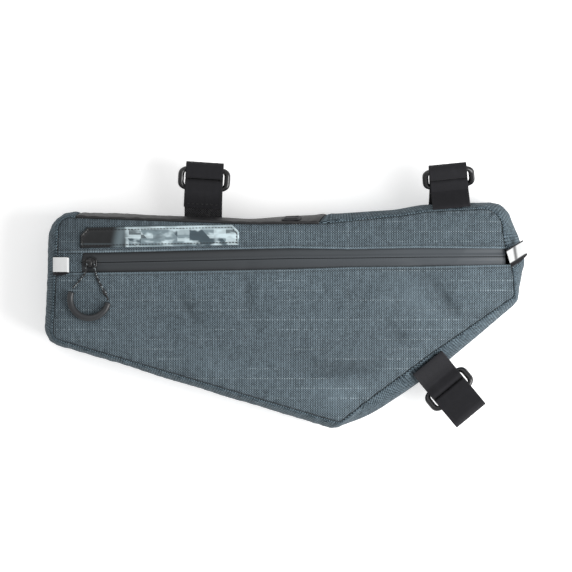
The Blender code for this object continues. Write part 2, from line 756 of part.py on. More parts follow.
def build_strap(strap, collection):
    """One fastening: the long strap round the ring's far bar, the tab round its near bar, the ring."""
    frame = StrapFrame(strap)
    web = material("webbing_black", WEBBING_BLACK, 0.8)
    ring_high = STRAP_WALL * 1.5 + 2 * GAP + RING_BAR / 2
    wrap = RING_BAR / 2 + GAP + STRAP_WALL / 2
    top = ring_high + wrap
    bend = top / 2
    far = strap.length - bend
    dive = strap.slit + STRAP_WALL / 2 + GAP / 2 + wrap / 2
    steps = np.linspace(0, 1, 7)
    main = [(share * far, 0.0) for share in steps]
    main += arc((far, bend), bend, -90, 90, 8)[1:]
    main += [(far + (dive - far) * 0.5, top)]
    main += arc((dive, top - wrap / 2), wrap / 2, 90, 180, 4)
    main += [(dive - wrap / 2, ring_high)]
    path = [frame.point(*place) for place in main]
    for index, share in enumerate(steps):
        path[index] = path[index] + frame.across * strap.root_skew * (1 - share) ** 2
    add_band(f"strap_{strap.name}", path, frame.across, STRAP_WIDTH, STRAP_WALL, web, collection)

    near = strap.slit - STRAP_WALL / 2 - GAP / 2 - wrap
    bar = strap.slit - (RING_HEIGHT - RING_BAR) / 2
    rise = bar - RING_BAR / 2
    if strap.tail_high is None:
        tail = (strap.tail_out, STRAP_WALL + GAP)
    else:
        tail = frame.local(strap.tail_out, BAG_DEPTH + strap.tail_high + STRAP_WALL / 2)
    tab = []
    for share in np.linspace(0, 1, 8):
        ease = share * share * (3 - 2 * share)
        tab.append((tail[0] + (rise - tail[0]) * share, tail[1] + (top - tail[1]) * ease))
    tab += arc((near, ring_high), wrap, 90, -90, 8)
    tab.append((bar - TAB_RETURN / 2, ring_high - wrap))
    path = [frame.point(*place) for place in tab]
    add_band(f"ring_tab_{strap.name}", path, frame.across, STRAP_WIDTH, STRAP_WALL, web, collection)

    middle = frame.point(strap.slit, ring_high)
    half_long = (RING_LENGTH - RING_BAR) / 2
    half_high = (RING_HEIGHT - RING_BAR) / 2
    square = Loop(
        ((-half_long, -half_high), (half_long, -half_high), (half_long, half_high), (-half_long, half_high)),
        [RING_ROUND] * 4,
    )
    away = frame.point(1, 0) - frame.point(0, 0)
    points = [middle + frame.across * flat[0] + away * flat[1] for flat in square.line(0, 8, SEGMENTS)[:-1]]
    finish = material("metal_black", METAL_BLACK, 0.35, 0.6)
    add_tube(f"ring_{strap.name}", points, RING_BAR, finish, collection, closed=True)


def build_tab(tab, collection):
    """A folded reflective loop sewn into the seam: a lower layer, a bend and an upper layer."""
    spans = {"left": LEFT_EDGE, "right": RIGHT_EDGE}
    edge = PANEL.at(edge_place(*spans[tab.name], 0))
    aim = math.radians(tab.aim)
    forward = np.array((math.cos(aim), math.sin(aim)))
    lean = math.radians(tab.lean)
    tilt = math.radians(tab.tilt)
    across = np.array((-math.sin(lean) * math.cos(tilt), math.cos(lean) * math.cos(tilt), -math.sin(tilt)))
    start = edge + np.array((0.0, tab.shift)) - forward * tab.back
    run = tab.reach - tab.bend
    rise = TAB_WIDTH / 2 * math.sin(tilt)

    def cloth(flat):
        sides = [flat + across[:2] * TAB_WIDTH * share for share in (-0.5, 0, 0.5)]
        return max(front_height(side) for side in sides)

    def lower(share):
        flat = start + forward * run * share
        ground = cloth(flat) if tab.drop == 0 else BAG_DEPTH - tab.drop * share * share
        return flat, ground + GAP * 2 + TAB_WALL / 2 + rise

    path = []
    for share in (0, 0.25, 0.5, 0.75, 1):
        flat, height = lower(share)
        path.append((*flat, height))
    tip, height = lower(1)
    for out, up in arc((0, tab.bend), tab.bend, -90, 90, 6)[1:]:
        flat = tip + forward * out
        path.append((*flat, height + up))
    root = lower(0)[1] + TAB_WALL + GAP
    for share in (0.75, 0.5, 0.25, 0):
        flat = start + forward * run * share
        level = root + (height + 2 * tab.bend - root) * share**0.7
        path.append((*flat, max(level, lower(share)[1] + TAB_WALL + GAP)))
    finish = material("tape_reflective", TAPE_SILVER, 0.4)
    name = f"reflective_tab_{tab.name}"
    add_band(name, path, across, TAB_WIDTH, TAB_WALL, finish, collection)


def centre_parts(collection):
    """Hangs every part on one empty and moves it so that the footprint's middle is the origin."""
    bpy.context.view_layer.update()
    graph = bpy.context.evaluated_depsgraph_get()
    corners = []
    for thing in collection.objects:
        if thing.name == "pull_cord":
            continue
        seen = thing.evaluated_get(graph)
        mesh = seen.to_mesh()
        points = np.zeros(len(mesh.vertices) * 3, np.float32)
        mesh.vertices.foreach_get("co", points)
        points = points.reshape(-1, 3) + np.array(thing.location)
        corners += [points.min(0), points.max(0)]
        seen.to_mesh_clear()
    low, high = np.min(corners, axis=0), np.max(corners, axis=0)
    anchor = bpy.data.objects.new("bag_origin", None)
    anchor.location = Vector((-(low[0] + high[0]) / 2, -(low[1] + high[1]) / 2, 0))
    for thing in list(collection.objects):
        thing.parent = anchor
    collection.objects.link(anchor)


def main():
    clear_scene()
    collection = bpy.data.collections.new("bicycle_frame_bag")
    cutters = bpy.data.collections.new("cutters")
    for made in (collection, cutters):
        bpy.context.scene.collection.children.link(made)
    build_gusset(collection)
    build_back(collection)
    build_front(collection)
    build_zip(collection)
    build_slider(collection, cutters)
    build_pull(collection)
    build_label(collection)
    build_port(collection)
    for strap in STRAPS:
        build_strap(strap, collection)
    for tab in TABS:
        build_tab(tab, collection)
    centre_parts(collection)
    for cutter in cutters.objects:
        cutter.parent = bpy.data.objects["bag_origin"]


main()
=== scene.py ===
"""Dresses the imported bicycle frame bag: cloth, zip, label, straps and rings, on a plain stage.

Shapes are worked out in the bag's own plane, where X runs along the bag and Y up its front, and
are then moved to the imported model's place. Metres.
"""

import math
from collections import namedtuple

import bpy
import numpy as np
from bpy.props import FloatProperty, FloatVectorProperty, PointerProperty
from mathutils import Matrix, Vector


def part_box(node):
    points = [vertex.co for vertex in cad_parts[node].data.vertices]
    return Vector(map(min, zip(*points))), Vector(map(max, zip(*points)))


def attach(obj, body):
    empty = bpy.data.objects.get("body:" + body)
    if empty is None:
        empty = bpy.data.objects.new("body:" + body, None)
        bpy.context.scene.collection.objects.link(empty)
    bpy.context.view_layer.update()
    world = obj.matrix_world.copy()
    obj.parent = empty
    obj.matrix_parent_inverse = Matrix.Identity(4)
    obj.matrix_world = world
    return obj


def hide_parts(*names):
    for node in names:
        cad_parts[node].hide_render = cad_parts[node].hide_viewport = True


bl_info = {
    "name": "Frame Bag",
    "version": (1, 0, 0),
    "blender": (4, 5, 0),
    "location": "View3D > Sidebar > Frame Bag",
    "description": "Cloth, zip, label, straps and rings for a bicycle frame bag",
    "category": "Object",
}

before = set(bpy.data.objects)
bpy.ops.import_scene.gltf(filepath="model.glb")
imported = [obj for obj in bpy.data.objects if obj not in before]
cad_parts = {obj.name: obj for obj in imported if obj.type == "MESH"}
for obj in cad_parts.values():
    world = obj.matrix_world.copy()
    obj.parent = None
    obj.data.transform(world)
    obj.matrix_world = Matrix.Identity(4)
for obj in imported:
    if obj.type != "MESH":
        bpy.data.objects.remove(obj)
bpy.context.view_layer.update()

# Body sizes
BAG_LENGTH = 0.389
BAG_HEIGHT = 0.1835
BAG_DEPTH = 0.050
CORNER_RADIUS = 0.020
SEAM_INSET = 0.006
BACK_INSET = 0.005
FRONT_CROWN = 0.0055
CROWN_REACH = 0.028
FOLD_DEPTH = 0.0018
GUSSET_WALL = 0.0016
PANEL_WALL = 0.0014
GAP = 0.0003

# Zip sizes
ZIP_OPENING = 0.0168
ZIP_HEM = 0.004
SLIDER_LENGTH = 0.0110
SLIDER_WIDTH = 0.0094
SLIDER_HEIGHT = 0.0028
BRIDGE_WIDTH = 0.0040
BRIDGE_BAR = 0.0012
GRIP_RADIUS = 0.0154
GRIP_THICKNESS = 0.0055
GRIP_START = -10.0
GRIP_END = 157.0
CORD_DIAMETER = 0.0016
BRIDGE_CLEAR = CORD_DIAMETER + 4 * GAP
KNOT_LENGTH = 0.0030
KNOT_RADIUS = 0.0010
KNOT_TURNS = 2.6
KNOT_AWAY = 0.0068

# Label, port and tab sizes
LABEL_HEIGHT = 0.0165
LABEL_WALL = 0.0014
LABEL_CHAMFER = 0.0058
PORT_LENGTH = 0.0165
PORT_WALL = 0.0016
TAB_WIDTH = 0.0126
TAB_WALL = 0.0010
TAB_SKEW = 0.0024
TAB_CREASE = 0.0068

# Strap and ring sizes
STRAP_WIDTH = 0.0310
STRAP_WALL = 0.0016
RING_BAR = 0.0044
RING_LENGTH = 0.0428
RING_HEIGHT = 0.0194
RING_ROUND = 0.0046
TAB_RETURN = 0.0070
STRAP_ROOT = 0.0014
RING_BROAD = 1.2

# Cloth edges and stitches
SEAM_ROLL = 0.0008
HEM_ROLL = 0.0012
STITCH_INSET = 0.0023
STITCH_PITCH = 0.0030
THREAD = 0.0005

PI = math.pi
TURN = 2 * math.pi

Corner = namedtuple("Corner", "name along up rounding seam_in seam_up seam_rounding")
# Shares of the length and height, of the corner radius, and of the seam inset, anticlockwise.
CORNERS = (
    Corner("low_left", -0.0010, 0.384, 0.88, 1.00, 0.23, 0.45),
    Corner("bottom", 0.6020, -0.005, 0.60, 0.93, 0.62, 0.33),
    Corner("belly_low", 0.6833, 0.060, 6.00, -0.98, 1.32, 3.00),
    Corner("belly_high", 0.8250, 0.267, 7.50, -1.15, 1.65, 7.50),
    Corner("low_right", 0.9875, 0.556, 0.50, -0.27, 0.69, 0.30),
    Corner("mid_right", 1.0020, 0.733, 0.60, -1.48, -1.22, 0.50),
    Corner("shoulder", 0.9890, 0.850, 1.50, -1.90, -0.27, 1.50),
    Corner("top_right", 0.9615, 0.997, 0.85, -0.40, -0.53, 0.90),
    Corner("step_right", 0.7875, 0.986, 3.00, 0.82, -0.70, 3.00),
    Corner("step_left", 0.7310, 0.965, 3.00, 0.95, -0.60, 3.00),
    Corner("top_middle", 0.5960, 0.948, 9.00, -0.68, -1.15, 3.00),
    Corner("top_dip", 0.4230, 0.924, 9.00, 0.40, -0.47, 9.00),
    Corner("top_left", 0.0115, 0.957, 1.10, 1.08, -0.53, 0.55),
)
LAPS = 2 * len(CORNERS)


def place_of(name, share):
    """The place at a share of a corner's rounding, or past 1 along the edge after it."""
    return 2 * [corner.name for corner in CORNERS].index(name) + share


COATED_START = place_of("top_middle", 1.04)
COATED_END = place_of("top_left", -0.03)
LEFT_EDGE = place_of("top_left", 1), LAPS
RIGHT_EDGE = place_of("mid_right", 1), place_of("top_right", 0)

Fold = namedtuple("Fold", "along up length width angle depth")
# The front's broad ridges and dents: shares of the length, the height and the fold depth.
FOLDS = (
    Fold(0.305, 0.530, 0.045, 0.020, -55, -1.0),
    Fold(0.828, 0.585, 0.075, 0.020, -51, -1.1),
    Fold(0.765, 0.590, 0.085, 0.034, -46, 0.7),
    Fold(0.620, 0.262, 0.085, 0.022, 4, -1.0),
    Fold(0.605, 0.140, 0.060, 0.032, 0, 0.9),
    Fold(0.738, 0.420, 0.035, 0.018, -40, -0.7),
    Fold(0.423, 0.610, 0.055, 0.016, 88, -0.5),
    Fold(0.095, 0.400, 0.060, 0.030, -14, 0.6),
    Fold(0.383, 0.250, 0.110, 0.028, -17, 0.5),
)
# Small creases over them, in the same columns.
CREASES = (
    Fold(0.300, 0.520, 0.030, 0.008, -55, -0.45),
    Fold(0.838, 0.560, 0.060, 0.009, -51, -0.50),
    Fold(0.805, 0.610, 0.050, 0.010, -50, 0.35),
    Fold(0.640, 0.255, 0.060, 0.008, 4, -0.40),
    Fold(0.600, 0.205, 0.060, 0.012, -2, 0.30),
    Fold(0.735, 0.425, 0.028, 0.007, -40, -0.40),
    Fold(0.423, 0.620, 0.034, 0.006, 88, -0.30),
    Fold(0.447, 0.600, 0.030, 0.007, 84, 0.22),
    Fold(0.105, 0.330, 0.050, 0.009, -14, -0.30),
    Fold(0.210, 0.300, 0.060, 0.012, -16, 0.25),
    Fold(0.905, 0.500, 0.022, 0.007, -30, -0.35),
    Fold(0.925, 0.640, 0.026, 0.008, -70, -0.25),
    Fold(0.560, 0.600, 0.030, 0.010, 78, 0.22),
    Fold(0.660, 0.560, 0.040, 0.009, 66, -0.22),
    Fold(0.500, 0.860, 0.030, 0.006, 80, -0.25),
    Fold(0.640, 0.870, 0.030, 0.006, 96, -0.25),
    Fold(0.850, 0.880, 0.040, 0.008, 24, 0.30),
    Fold(0.920, 0.890, 0.024, 0.007, -48, -0.30),
    Fold(0.100, 0.870, 0.130, 0.050, -2, -0.35),
)

# Broad painted shadows on the cloth where it sinks towards the left end, in the same columns. Colour alone.
PAINTED_SHADOWS = (
    Fold(0.020, 0.900, 0.170, 0.060, 0, -1.15),
    Fold(0.010, 0.450, 0.090, 0.130, 0, -0.45),
)

ZipRow = namedtuple("ZipRow", "along up half")
# The zip's middle line and half width: shares of the length, the height and the zip opening.
ZIP_ROWS = (
    ZipRow(0.000, 0.727, 0.47),
    ZipRow(0.117, 0.730, 0.47),
    ZipRow(0.388, 0.742, 0.50),
    ZipRow(0.513, 0.748, 0.50),
    ZipRow(0.638, 0.750, 0.42),
    ZipRow(0.783, 0.754, 0.44),
    ZipRow(1.000, 0.757, 0.36),
)
SLIDER_ALONG = 0.0975
LABEL_ALONG = (0.077, 0.407)
LABEL_UP = 0.840
PORT_ALONG = 0.524
PORT_DEPTH = (0.80, 0.96)

Strap = namedtuple("Strap", "name place turn base lift length slit root_skew tail_out tail_high")
# Place on the outline, turn from its normal and lift in degrees, base as a share of the depth.
# Then metres: the length and the slit from the outline, the back layer's sideways start, and the
# tail's start from the outline and over the front seam, or None where it is sewn to the strap.
STRAPS = (
    Strap("top_left", place_of("top_dip", 1.215), -1.5, 0.54, 4.0, 0.0435, 0.0306, 0.0012, 0.0070, None),
    Strap("top_right", place_of("top_right", 1.630), 4.0, 0.56, 36.0, 0.0390, 0.0274, -0.0026, -0.0055, 0.0024),
    Strap("bottom", place_of("belly_high", 0.128), 4.4, 0.46, 14.0, 0.0472, 0.0194, 0.0, -0.0105, 0.0012),
)

TabLoop = namedtuple("TabLoop", "name aim lean tilt back shift reach bend drop")
# Degrees of the run, of its edges and of their tilt to the front. Then metres: back over the
# seam, up from the zip's middle, reach, bend and the tip's drop.
TABS = (
    TabLoop("left", 0.0, 0.0, 0.0, 0.0028, -0.0012, 0.0125, 0.0012, 0.0),
    TabLoop("right", 32.0, 16.0, 14.0, 0.0, -0.0008, 0.0160, 0.0028, 0.007),
)

CordPoint = namedtuple("CordPoint", "right up grip slider")
# Metres from the slider's middle, and how much of its height the cord takes from the grip or
# from the slider's bridge. Elsewhere it lies on the cloth.
CORD_ROUTE = (
    CordPoint(-0.01390, -0.02060, 1.0, 0.0),
    CordPoint(-0.01100, -0.01720, 0.3, 0.0),
    CordPoint(-0.00740, -0.01300, 0.0, 0.0),
    CordPoint(-0.00430, -0.00870, 0.0, 0.3),
    CordPoint(-0.00330, -0.00500, 0.0, 1.0),
    CordPoint(-0.00300, -0.00240, 0.0, 1.0),
    CordPoint(-0.00180, -0.00040, 0.0, 1.0),
    CordPoint(0.00020, 0.00040, 0.0, 1.0),
    CordPoint(0.00220, -0.00040, 0.0, 1.0),
    CordPoint(0.00340, -0.00240, 0.0, 1.0),
    CordPoint(0.00370, -0.00500, 0.0, 1.0),
    CordPoint(0.00460, -0.00870, 0.0, 0.3),
    CordPoint(0.00690, -0.01480, 0.0, 0.0),
    CordPoint(0.01020, -0.02120, 0.0, 0.0),
    CordPoint(0.01330, -0.02720, 0.4, 0.0),
    CordPoint(0.01460, -0.03030, 1.0, 0.0),
)
GRIP_CENTRE = (-0.0006, -0.0292)


def flat_point(along, up):
    """A point of the bag's plane from its shares of the length and the height."""
    return np.array(((along - 0.5) * BAG_LENGTH, (up - 0.5) * BAG_HEIGHT))


def unit(vectors):
    """The vectors, each with length one."""
    return vectors / np.linalg.norm(vectors, axis=-1, keepdims=True)


def smooth_step(values, low, high):
    """0 below low, 1 above high, and 3t^2 - 2t^3 between them."""
    share = np.clip((values - low) / (high - low), 0, 1)
    return share * share * (3 - 2 * share)


def bell(values, middle, width):
    """exp(-((values - middle) / width)^2)."""
    return np.exp(-(((values - middle) / width) ** 2))


class Loop:
    """A closed outline with rounded corners, read by place.

    Corner k is rounded from place 2k to 2k + 1, as an exact arc, and the edge after it runs from
    2k + 1 to 2k + 2.
    """

    def __init__(self, corners, radii):
        self.corners = np.array(corners)
        self.radii = np.array(radii)
        self.count = len(corners)
        self.to_before = unit(np.roll(self.corners, 1, axis=0) - self.corners)
        self.to_after = unit(np.roll(self.corners, -1, axis=0) - self.corners)
        cosine = (self.to_before * self.to_after).sum(1)
        half = np.arccos(np.clip(cosine, -1, 1)) / 2
        self.reach = self.radii / np.tan(half)
        self.weight = np.sin(half)

    def at(self, places):
        """Points at places: a weighted quadratic on the roundings, a straight line between them."""
        places = np.mod(np.asarray(places, float), 2 * self.count)
        corner = np.minimum((places // 2).astype(int), self.count - 1)
        share = (places - 2 * corner)[..., None]
        arrive = self.corners[corner] + self.to_before[corner] * self.reach[corner][..., None]
        leave = self.corners[corner] + self.to_after[corner] * self.reach[corner][..., None]
        t = np.clip(share, 0, 1)
        pull = 2 * t * (1 - t) * self.weight[corner][..., None]
        bend = ((1 - t) ** 2 * arrive + pull * self.corners[corner] + t**2 * leave) / ((1 - t) ** 2 + pull + t**2)
        after = (corner + 1) % self.count
        end = self.corners[after] + self.to_before[after] * self.reach[after][..., None]
        return np.where(share > 1, leave + (end - leave) * (share - 1), bend)

    def inside(self, distance):
        """The same outline moved inwards by a distance."""
        normal = np.stack((-self.to_after[:, 1], self.to_after[:, 0]), axis=1)
        other = np.roll(normal, 1, axis=0)
        shift = (normal + other) / (1 + (normal * other).sum(1))[:, None]
        turn = self.to_after[:, 0] * self.to_before[:, 1] - self.to_after[:, 1] * self.to_before[:, 0]
        rounder = np.where(turn > 0, self.radii - distance, self.radii + distance)
        return Loop(self.corners + shift * distance, np.maximum(rounder, distance / 2))

    def trimmed(self, start, end, distance):
        """The two places moved towards each other by a distance along the outline."""
        speed = [np.linalg.norm(self.at(p + 0.01) - self.at(p - 0.01)) / 0.02 for p in (start, end)]
        return start + distance / speed[0], end - distance / speed[1]

    def even_places(self, start, end, count, pull=0.0):
        """count + 1 places at even lengths along the outline, closer at the ends by pull, and the lengths."""
        fine = np.linspace(start, end, 4000)
        steps = np.linalg.norm(np.diff(self.at(fine), axis=0), axis=1)
        gone = np.concatenate(([0], np.cumsum(steps)))
        marks = end_heavy(count, pull) * gone[-1]
        return np.interp(marks, gone, fine), marks


def end_heavy(count, pull):
    """count + 1 shares from 0 to 1, t - pull sin(2 pi t) / 2 pi: closer together at both ends."""
    t = np.linspace(0, 1, count + 1)
    return t - pull * np.sin(TURN * t) / TURN


def evenly(points, count):
    """count + 1 points evenly spaced along a line of points."""
    gone = np.concatenate(([0], np.cumsum(np.linalg.norm(np.diff(points, axis=0), axis=1))))
    marks = np.linspace(0, gone[-1], count + 1)
    return np.stack([np.interp(marks, gone, points[:, k]) for k in range(points.shape[1])], axis=1)


def smooth_line(points, count):
    """count + 1 points on a smooth curve through the points: a cubic between each two of them."""
    points = np.array(points, float)
    slopes = np.gradient(points, axis=0)
    t = np.linspace(0, 1, 24, endpoint=False)[None, :, None]
    first, last = points[:-1, None], points[1:, None]
    out, arrive = slopes[:-1, None], slopes[1:, None]
    fine = (2 * t**3 - 3 * t**2 + 1) * first + (t**3 - 2 * t**2 + t) * out
    fine = fine + (3 * t**2 - 2 * t**3) * last + (t**3 - t**2) * arrive
    fine = np.concatenate((fine.reshape(-1, points.shape[1]), points[-1:]))
    return evenly(fine, count)


def outline_loop():
    return Loop([flat_point(c.along, c.up) for c in CORNERS], [c.rounding * CORNER_RADIUS for c in CORNERS])


def seam_loop():
    """The front seam: the outline's corners moved in by the table's own shares."""
    corners = [flat_point(c.along, c.up) + np.array((c.seam_in, c.seam_up)) * SEAM_INSET for c in CORNERS]
    return Loop(corners, [c.seam_rounding * CORNER_RADIUS for c in CORNERS])


OUTLINE = outline_loop()
SEAM = seam_loop()
BACK = OUTLINE.inside(BACK_INSET)
PANEL = SEAM.inside(GUSSET_WALL + GAP)
PANEL_EDGE = PANEL.at(np.linspace(0, LAPS, 720))


def bag_place():
    """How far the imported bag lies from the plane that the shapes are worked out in."""
    low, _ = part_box("gusset")
    rim = OUTLINE.at(np.linspace(0, LAPS, 6000)).min(0)
    return np.array((low[0] - rim[0], low[1] - rim[1], 0.0))


BAG_PLACE = bag_place()


def gusset_point(places, shares):
    """Points of the gusset's outer face: share 0 is the back seam and 1 the front seam.

    The wall bows by 1 - |2s - 1|^2.4 from the straight line between the seams to the outline.
    """
    shares = np.asarray(shares, float)[..., None]
    back, front = BACK.at(places), SEAM.at(places)
    bow = 1 - np.abs(2 * shares - 1) ** 2.4
    flat = back + (front - back) * shares + (OUTLINE.at(places) - (back + front) / 2) * bow
    return np.concatenate((flat, np.broadcast_to(shares * BAG_DEPTH, flat[..., :1].shape)), axis=-1)


def gusset_normal(places, shares):
    """The outward direction of the gusset's outer face, from its two slopes."""
    shares = np.asarray(shares, float)
    along = gusset_point(places + 0.02, shares) - gusset_point(places - 0.02, shares)
    rise = gusset_point(places, np.minimum(shares + 0.02, 1)) - gusset_point(places, np.maximum(shares - 0.02, 0))
    return unit(np.cross(along, rise))


def line_distance(flat, line):
    """The distance of flat points from a line of points, and the length along the line there."""
    starts = line[:-1]
    runs = line[1:] - starts
    lengths = np.linalg.norm(runs, axis=1)
    gone = np.concatenate(([0], np.cumsum(lengths)))[:-1]
    near = np.empty(len(flat))
    along = np.empty(len(flat))
    for first in range(0, len(flat), 4000):
        block = flat[first : first + 4000, None]
        share = np.clip(((block - starts) * runs).sum(2) / (lengths**2), 0, 1)
        apart = np.linalg.norm(starts + runs * share[..., None] - block, axis=2)
        pick = apart.argmin(1)
        rows = np.arange(len(pick))
        near[first : first + 4000] = apart[rows, pick]
        along[first : first + 4000] = gone[pick] + share[rows, pick] * lengths[pick]
    return near, along


def fold_sum(flat, folds):
    """The sum of the folds: each is a bell along its own direction times a bell across it."""
    total = np.zeros(len(flat))
    for fold in folds:
        off = flat - flat_point(fold.along, fold.up)
        angle = math.radians(fold.angle)
        lengthways = (off[:, 0] * math.cos(angle) + off[:, 1] * math.sin(angle)) / (fold.length * BAG_LENGTH)
        across = (off[:, 1] * math.cos(angle) - off[:, 0] * math.sin(angle)) / (fold.width * BAG_LENGTH)
        total += FOLD_DEPTH * fold.depth * np.exp(-(lengthways**2) - across**2)
    return total


def front_height(flat, edge=None):
    """The front's outer face: the seam's height, a crown that rises from the seam, and the folds."""
    flat = np.atleast_2d(flat)
    if edge is None:
        edge = line_distance(flat, PANEL_EDGE)[0]
    swell = 1 - np.exp(-edge / CROWN_REACH)
    return BAG_DEPTH + FRONT_CROWN * swell + swell * fold_sum(flat, FOLDS)


def on_front(flat, raised=0.0):
    """Flat points of any grid shape, lifted onto the front."""
    flat = np.asarray(flat, float)
    heights = front_height(flat.reshape(-1, 2)).reshape(flat.shape[:-1])
    return np.concatenate((flat, (heights + raised)[..., None]), axis=-1)


def zip_middle(x):
    """The height up the bag of the zip's middle line."""
    rows = np.array([flat_point(row.along, row.up) for row in ZIP_ROWS])
    return np.interp(x, rows[:, 0], rows[:, 1])


def hem_height(x, side):
    """The hem line above (side 1) or below (side -1) the zip."""
    rows = [flat_point(row.along, row.up)[0] for row in ZIP_ROWS]
    return zip_middle(x) + side * np.interp(x, rows, [row.half for row in ZIP_ROWS]) * ZIP_OPENING


def edge_place(low, high, side):
    """The place between low and high where the panel's edge meets a hem line."""
    places = np.linspace(low, high, 2000)
    points = PANEL.at(places)
    return float(places[np.abs(points[:, 1] - hem_height(points[:, 0], side)).argmin()])


def wave_field(x, y, size, seed, count=22):
    """A smooth random field of about unit height: a sum of sine waves in seeded directions."""
    pick = np.random.default_rng(seed)
    angles = pick.uniform(0, TURN, count)
    starts = pick.uniform(0, TURN, count)
    lengths = size * pick.uniform(0.7, 1.6, count)
    field = np.zeros(np.shape(x))
    for angle, start, length in zip(angles, starts, lengths):
        field = field + np.sin((x * math.cos(angle) + y * math.sin(angle)) * TURN / length + start)
    return field / math.sqrt(count / 2)


def wave_line(x, size, seed, count=9):
    """A smooth random line of about unit height: a sum of seeded sine waves."""
    pick = np.random.default_rng(seed)
    starts = pick.uniform(0, TURN, count)
    lengths = size * pick.uniform(0.65, 1.9, count)
    return sum(np.sin(x * TURN / length + start) for start, length in zip(starts, lengths)) / math.sqrt(count / 2)


class Form:
    """Points and faces of a surface, with a map place for each corner of each face."""

    def __init__(self, points, faces, places):
        self.points = points
        self.faces = faces
        self.places = places

    def outward(self, centre=None):
        """Turns every face over if the surface faces its centre, as the flux through it says."""
        if centre is None:
            centre = self.points.mean(0)
        flux = 0.0
        for faces in self.faces:
            corners = self.points[faces]
            normal = np.cross(corners[:, 1] - corners[:, 0], corners[:, 2] - corners[:, 0])
            if faces.shape[1] == 4:
                normal = normal + np.cross(corners[:, 2] - corners[:, 0], corners[:, 3] - corners[:, 0])
            flux += (normal * (corners.mean(1) - centre)).sum()
        if flux < 0:
            self.faces = [faces[:, ::-1] for faces in self.faces]
            self.places = [places[:, ::-1] for places in self.places]
        return self


def grid_corners(rows, columns):
    """For each cell of a grid, the row and column of its four corners."""
    i, j = np.meshgrid(np.arange(rows - 1), np.arange(columns - 1), indexing="ij")
    cells = np.stack((np.stack((i, j)), np.stack((i, j + 1)), np.stack((i + 1, j + 1)), np.stack((i + 1, j))))
    return cells.transpose(2, 3, 0, 1).reshape(-1, 4, 2)


def sheet_form(points, places):
    """An open surface on a grid of points."""
    cells = grid_corners(*points.shape[:2])
    faces = cells[..., 0] * points.shape[1] + cells[..., 1]
    return Form(points.reshape(-1, 3), [faces], [places[cells[..., 0], cells[..., 1]]])


def tube_form(rings, places, closed=False):
    """Rings of points joined into a tube: closed on itself, or with a fan over each end.

    places has one more column than the rings, and one more row if the tube is closed.
    """
    rows, columns = rings.shape[:2]
    cells = grid_corners(rows + closed, columns + 1)
    faces = (cells[..., 0] % rows) * columns + cells[..., 1] % columns
    corners = places[cells[..., 0], cells[..., 1]]
    points = rings.reshape(-1, 3)
    if closed:
        return Form(points, [faces], [corners])
    around = np.arange(columns)
    after = (around + 1) % columns
    first, last = len(points), len(points) + 1
    base = (rows - 1) * columns
    fans = np.concatenate(
        (
            np.stack((np.full(columns, first), after, around), axis=1),
            np.stack((np.full(columns, last), base + around, base + after), axis=1),
        )
    )
    middle = places.mean(1)
    fan_places = np.concatenate(
        (
            np.stack((np.broadcast_to(middle[0], (columns, 2)), places[0, 1:], places[0, :-1]), axis=1),
            np.stack((np.broadcast_to(middle[-1], (columns, 2)), places[-1, :-1], places[-1, 1:]), axis=1),
        )
    )
    points = np.concatenate((points, rings[0].mean(0)[None], rings[-1].mean(0)[None]))
    return Form(points, [faces, fans], [corners, fan_places])


def repeated(form, centres, forwards, ups):
    """Copies of a small form, whose own X, Y and Z turn to forward, across and up at each centre."""
    forwards = unit(forwards)
    across = unit(np.cross(ups, forwards))
    ups = np.cross(forwards, across)
    turned = (
        form.points[None, :, 0:1] * forwards[:, None]
        + form.points[None, :, 1:2] * across[:, None]
        + form.points[None, :, 2:3] * ups[:, None]
    )
    points = (turned + centres[:, None]).reshape(-1, 3)
    step = (np.arange(len(centres)) * len(form.points))[:, None, None]
    faces = [(part[None] + step).reshape(-1, part.shape[1]) for part in form.faces]
    places = [np.tile(part, (len(centres), 1, 1)) for part in form.places]
    return Form(points, faces, places)


def stitch_form(length, thickness):
    """One stitch: a thread of round section whose radius and height follow a sine hump."""
    t = np.linspace(0.06, 0.94, 6)
    around = np.linspace(0, TURN, 6, endpoint=False)
    radius = thickness / 2 * np.sin(PI * t) ** 0.35
    rise = thickness * (0.55 * np.sin(PI * t) - 0.25)
    rings = np.stack(
        (
            np.broadcast_to(((t - 0.5) * length)[:, None], (6, 6)),
            radius[:, None] * np.cos(around),
            rise[:, None] + radius[:, None] * np.sin(around),
        ),
        axis=-1,
    )
    return tube_form(rings, np.zeros((6, 7, 2))).outward()


def stitch_row(path, ups, pitch, thickness, skip=0.74):
    """Stitches along a path of points, each skip of the pitch long, standing on ups."""
    gone = np.concatenate(([0], np.cumsum(np.linalg.norm(np.diff(path, axis=0), axis=1))))
    marks = np.arange(pitch / 2, gone[-1], pitch)
    centres = np.stack([np.interp(marks, gone, path[:, k]) for k in range(3)], axis=1)
    ahead = np.stack([np.interp(marks + pitch / 4, gone, path[:, k]) for k in range(3)], axis=1)
    behind = np.stack([np.interp(marks - pitch / 4, gone, path[:, k]) for k in range(3)], axis=1)
    up = np.stack([np.interp(marks, gone, ups[:, k]) for k in range(3)], axis=1)
    return repeated(stitch_form(pitch * skip, thickness), centres, ahead - behind, up)


def joined(forms):
    """Several forms as one."""
    points, faces, places = [], [], []
    count = 0
    for form in forms:
        points.append(form.points)
        faces += [part + count for part in form.faces]
        places += form.places
        count += len(form.points)
    return Form(np.concatenate(points), faces, places)


